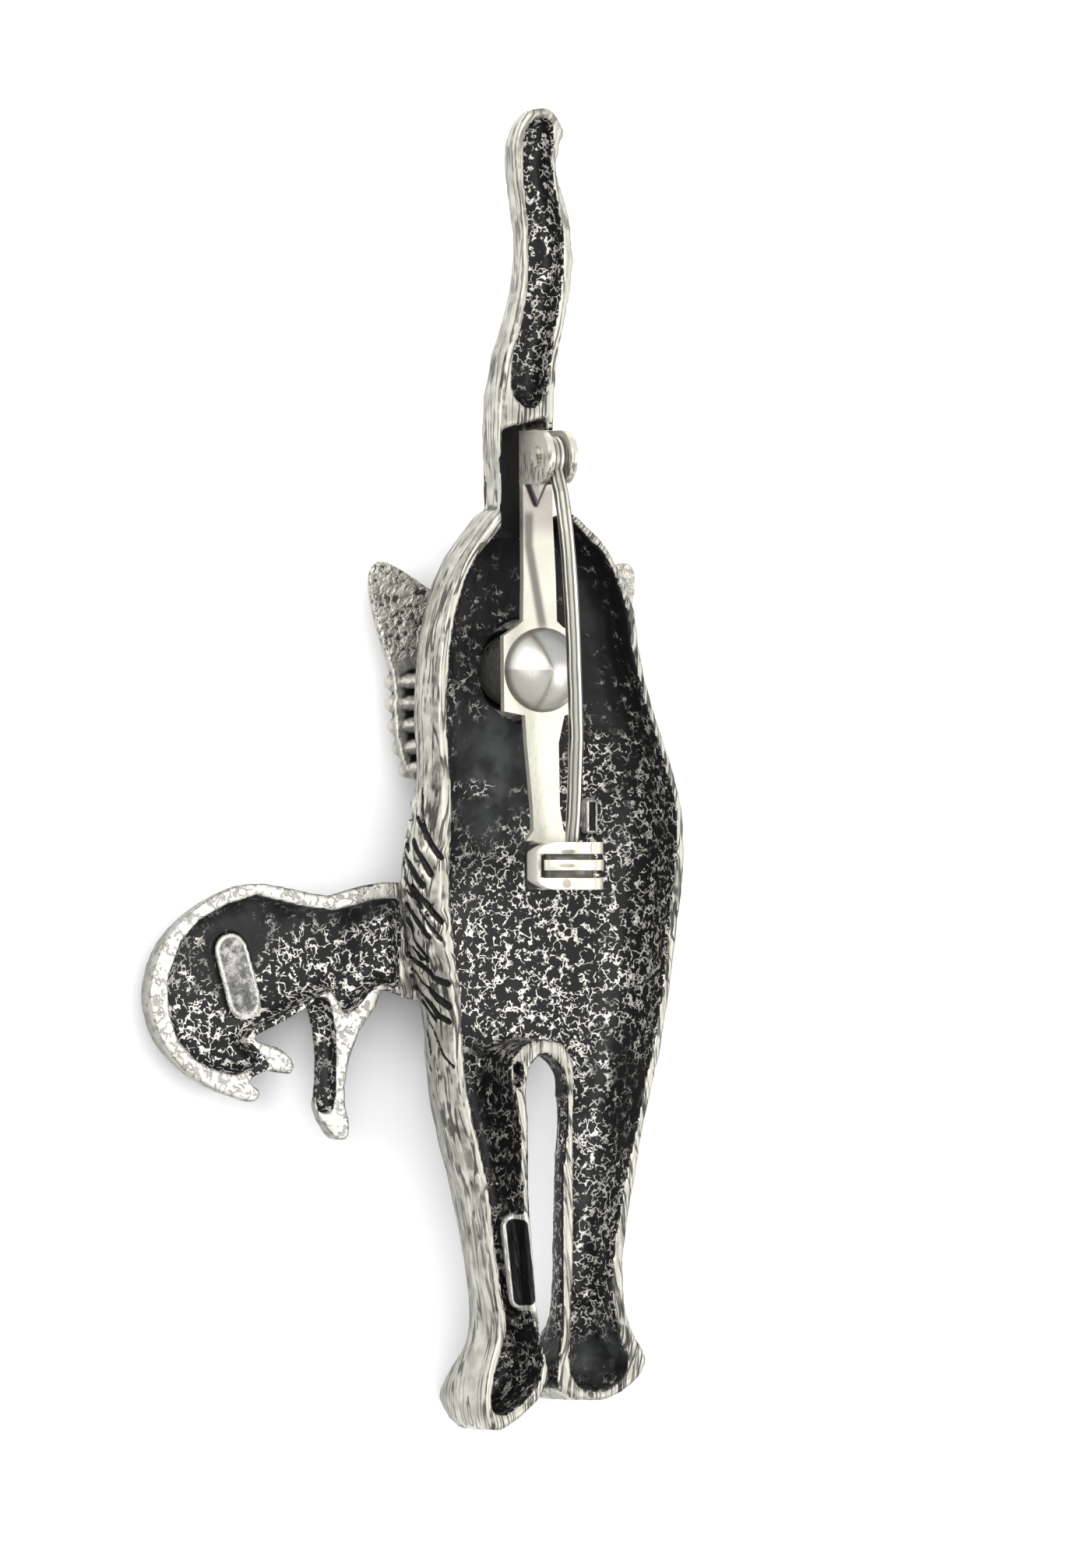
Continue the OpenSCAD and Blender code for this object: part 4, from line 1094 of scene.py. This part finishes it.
def catch_shell(f):
    x, y = f.axis("X"), f.axis("Y")
    # a painted highlight on the shell's left part, which turns down
    f.stain(f.times(f.fading(y, *SHELL_BEGINS), f.fading(x, *SHELL_HIGHLIT)), PAINTED_HIGHLIGHT)
    beside = f.gap(y, SLOT_Y)
    # painted shade in the slot for the lever
    slot = f.fading(beside, SLOT_HALF - SLOT_SOFT, SLOT_HALF + SLOT_SOFT)
    f.stain(f.times(slot, f.window(x, *SLOT_ENDS)), SHADE, strength=0.97)
    # painted shade under the shell's round left end, so that it looks round
    straight, slope, foot = SHELL_CORNER
    limit = f.plus(f.times(f.most(f.minus(beside, straight), 0.0), slope), foot)
    under = f.fading(f.minus(f.axis("Z"), limit), *SHADE_SOFT)
    left_end = f.times(f.fading(x, *SHADE_X), f.fading(y, *SHADE_Y))
    f.stain(f.times(under, left_end), SHADE, strength=0.95)
    for mark in BAND_MARKS:
        f.stain(f.spot(*mark), STAIN_AND_SHADE, strength=0.75)

def plated_strip():
    f = Plating("plated_strip")
    streak(f)
    worn_cheeks(f)
    pointed_stop(f)
    catch_shell(f)
    return f.plated()

# %% [markdown]
# A dome shows the whole room at once, and the fine grain that turning leaves pulls each
# light into a fan. So the rivet's colour is a painted reflection that depends only on the
# angle round its middle, and a thin ring of painted shade lies where the dome meets the strip.

# %% The rivet's fans
RIVET = (7.59, 5.975)
DOME_R = 2.56
SHADE_RING = (0.86 * DOME_R, 0.97 * DOME_R)
# degrees round the rivet from +x, and the colour of the painted reflection there
REFLECTED_FANS = [(-180, (0.32, 0.31, 0.28)), (-112, (0.43, 0.42, 0.385)), (-104, (0.25, 0.225, 0.20)),
        (-96, (0.45, 0.44, 0.41)), (-20, (0.50, 0.49, 0.45)), (60, (0.36, 0.37, 0.37)),
        (103, (0.33, 0.34, 0.345)), (113, (0.13, 0.11, 0.09)), (122, (0.43, 0.41, 0.36)),
        (136, (0.64, 0.63, 0.60)), (177, (0.64, 0.63, 0.60)), (180, (0.38, 0.37, 0.34))]

def plated_rivet():
    f = Plating("plated_rivet")
    x, y = f.minus(f.axis("X"), RIVET[0]), f.minus(f.axis("Y"), RIVET[1])
    turn = f.math("DEGREES", f.math("ARCTAN2", y, x))
    f.stain(1.0, f.ramp(turn, -180, 180, REFLECTED_FANS), strength=0.85)
    # a thin ring of painted shade where the dome meets the strip
    f.stain(f.rising(f.length(x, y), *SHADE_RING), STAIN_AND_SHADE, strength=0.8)
    return f.plated()

# %% [markdown]
# A round wire shows the room as stripes along its length, painted into its colour as a
# reflection. They follow the wire's middle, which bends, so a ramp first gives that middle
# for each y, and a second one gives the grey for each place across the wire.

# %% The wire's stripes
# half the wire's width
WIRE_R = 0.45
# y, and the wire's middle x there
WIRE_PATH = [(-6.0, 8.49), (-3.0, 8.53), (1.8, 8.38), (6.4, 8.03), (11.2, 7.63), (15.6, 7.28),
             (18.0, 7.23)]
# range of x that the ramp's numbers from 0 to 1 stand for
WIRE_X = (7.0, 9.0)
# place across the wire, from -1 at its left to 1 at its right, and the grey of its painted
# reflection
REFLECTED_STRIPES = [(-1.0, 0.05), (-0.93, 0.05), (-0.87, 1.0), (-0.79, 1.0), (-0.72, 0.06),
           (-0.62, 0.20), (-0.45, 0.60), (-0.20, 0.55), (-0.08, 0.08), (0.10, 0.22),
           (0.26, 1.0), (0.44, 1.0), (0.58, 0.06), (0.80, 0.06), (1.0, 0.35)]

def plated_wire():
    f = Plating("plated_wire")
    low, high = WIRE_X
    path = [(y, (x - low) / (high - low)) for y, x in WIRE_PATH]
    middle = f.ramp(f.axis("Y"), WIRE_PATH[0][0], WIRE_PATH[-1][0], path)
    middle = f.plus(f.times(middle, high - low), low)
    across = f.math("DIVIDE", f.minus(f.axis("X"), middle), WIRE_R)
    shine = f.ramp(f.plus(across, f.wander(0.35, 0.25)), -1, 1, REFLECTED_STRIPES)
    # the dark stripes of the painted reflection
    f.stain(f.minus(1.0, shine), SHADE)
    return f.plated()

# %% [markdown]
# Little light reaches the inside of the catch, so the lever gets painted shade where it
# turns within the shell. The hinge pin's ends are bare, spotted steel.

# %% The catch's lever and the hinge pin
# x and z of the line that the lever turns about
CATCH_AXIS = (8.23, 10.0)
SHELL_INSIDE = (1.79, 1.87)
LEVER_MARK = (7.35, -5.82, 0.50, 0.14)

def plated_catch():
    f = Plating("plated_catch")
    x, z = f.minus(f.axis("X"), CATCH_AXIS[0]), f.minus(f.axis("Z"), CATCH_AXIS[1])
    # painted shade on the lever where it turns within the shell
    f.stain(f.fading(f.length(x, z), *SHELL_INSIDE), SHADE, strength=0.85)
    f.stain(f.spot(*LEVER_MARK), STAIN_AND_SHADE, strength=0.7)
    return f.plated()

def hinge_steel():
    f = Plating("hinge_steel")
    f.stain(f.between(f.noise(1.5), 0.42, 0.52, 0.9, 0.2), STAIN_AND_SHADE)
    return f.plated()

# %% [markdown]
# The CAD nodes of the pin back keep their meshes. A Weld modifier joins their loose
# triangles, and a small Bevel rounds the sheared edges, so that each edge catches a thin
# line of light.

# %% Dress the pin back
PLATED = {"pin_bar": plated_strip(), "bar_rivet": plated_rivet(), "hinge_pin": hinge_steel(),
          "pin_stem": plated_wire(), "catch_rotor": plated_catch()}
SHEARED = ("pin_bar", "catch_rotor")
SHEET_WELD = 0.001 * MM
EDGE_ROUND = 0.06 * MM
EDGE_ANGLE = math.radians(35)

for name, finish in PLATED.items():
    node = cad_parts[name]
    node.data.materials.clear()
    node.data.materials.append(finish)
    if name in SHEARED:
        weld = node.modifiers.new("weld", "WELD")
        weld.merge_threshold = SHEET_WELD
        bevel = node.modifiers.new("edges", "BEVEL")
        bevel.width = EDGE_ROUND
        bevel.segments = 2
        bevel.limit_method = "ANGLE"
        bevel.angle_limit = EDGE_ANGLE
print("dressed:", sorted(PLATED))

# %% [markdown]
# ## Hand over
#
# The two skins stand for the CAD solids that they were laid over, and move with the same
# body as those do.

# %% Ride on the CAD bodies
for piece, node in ((cat, "casting"), (head, "head")):
    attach(piece, "brooch")
    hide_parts(node)
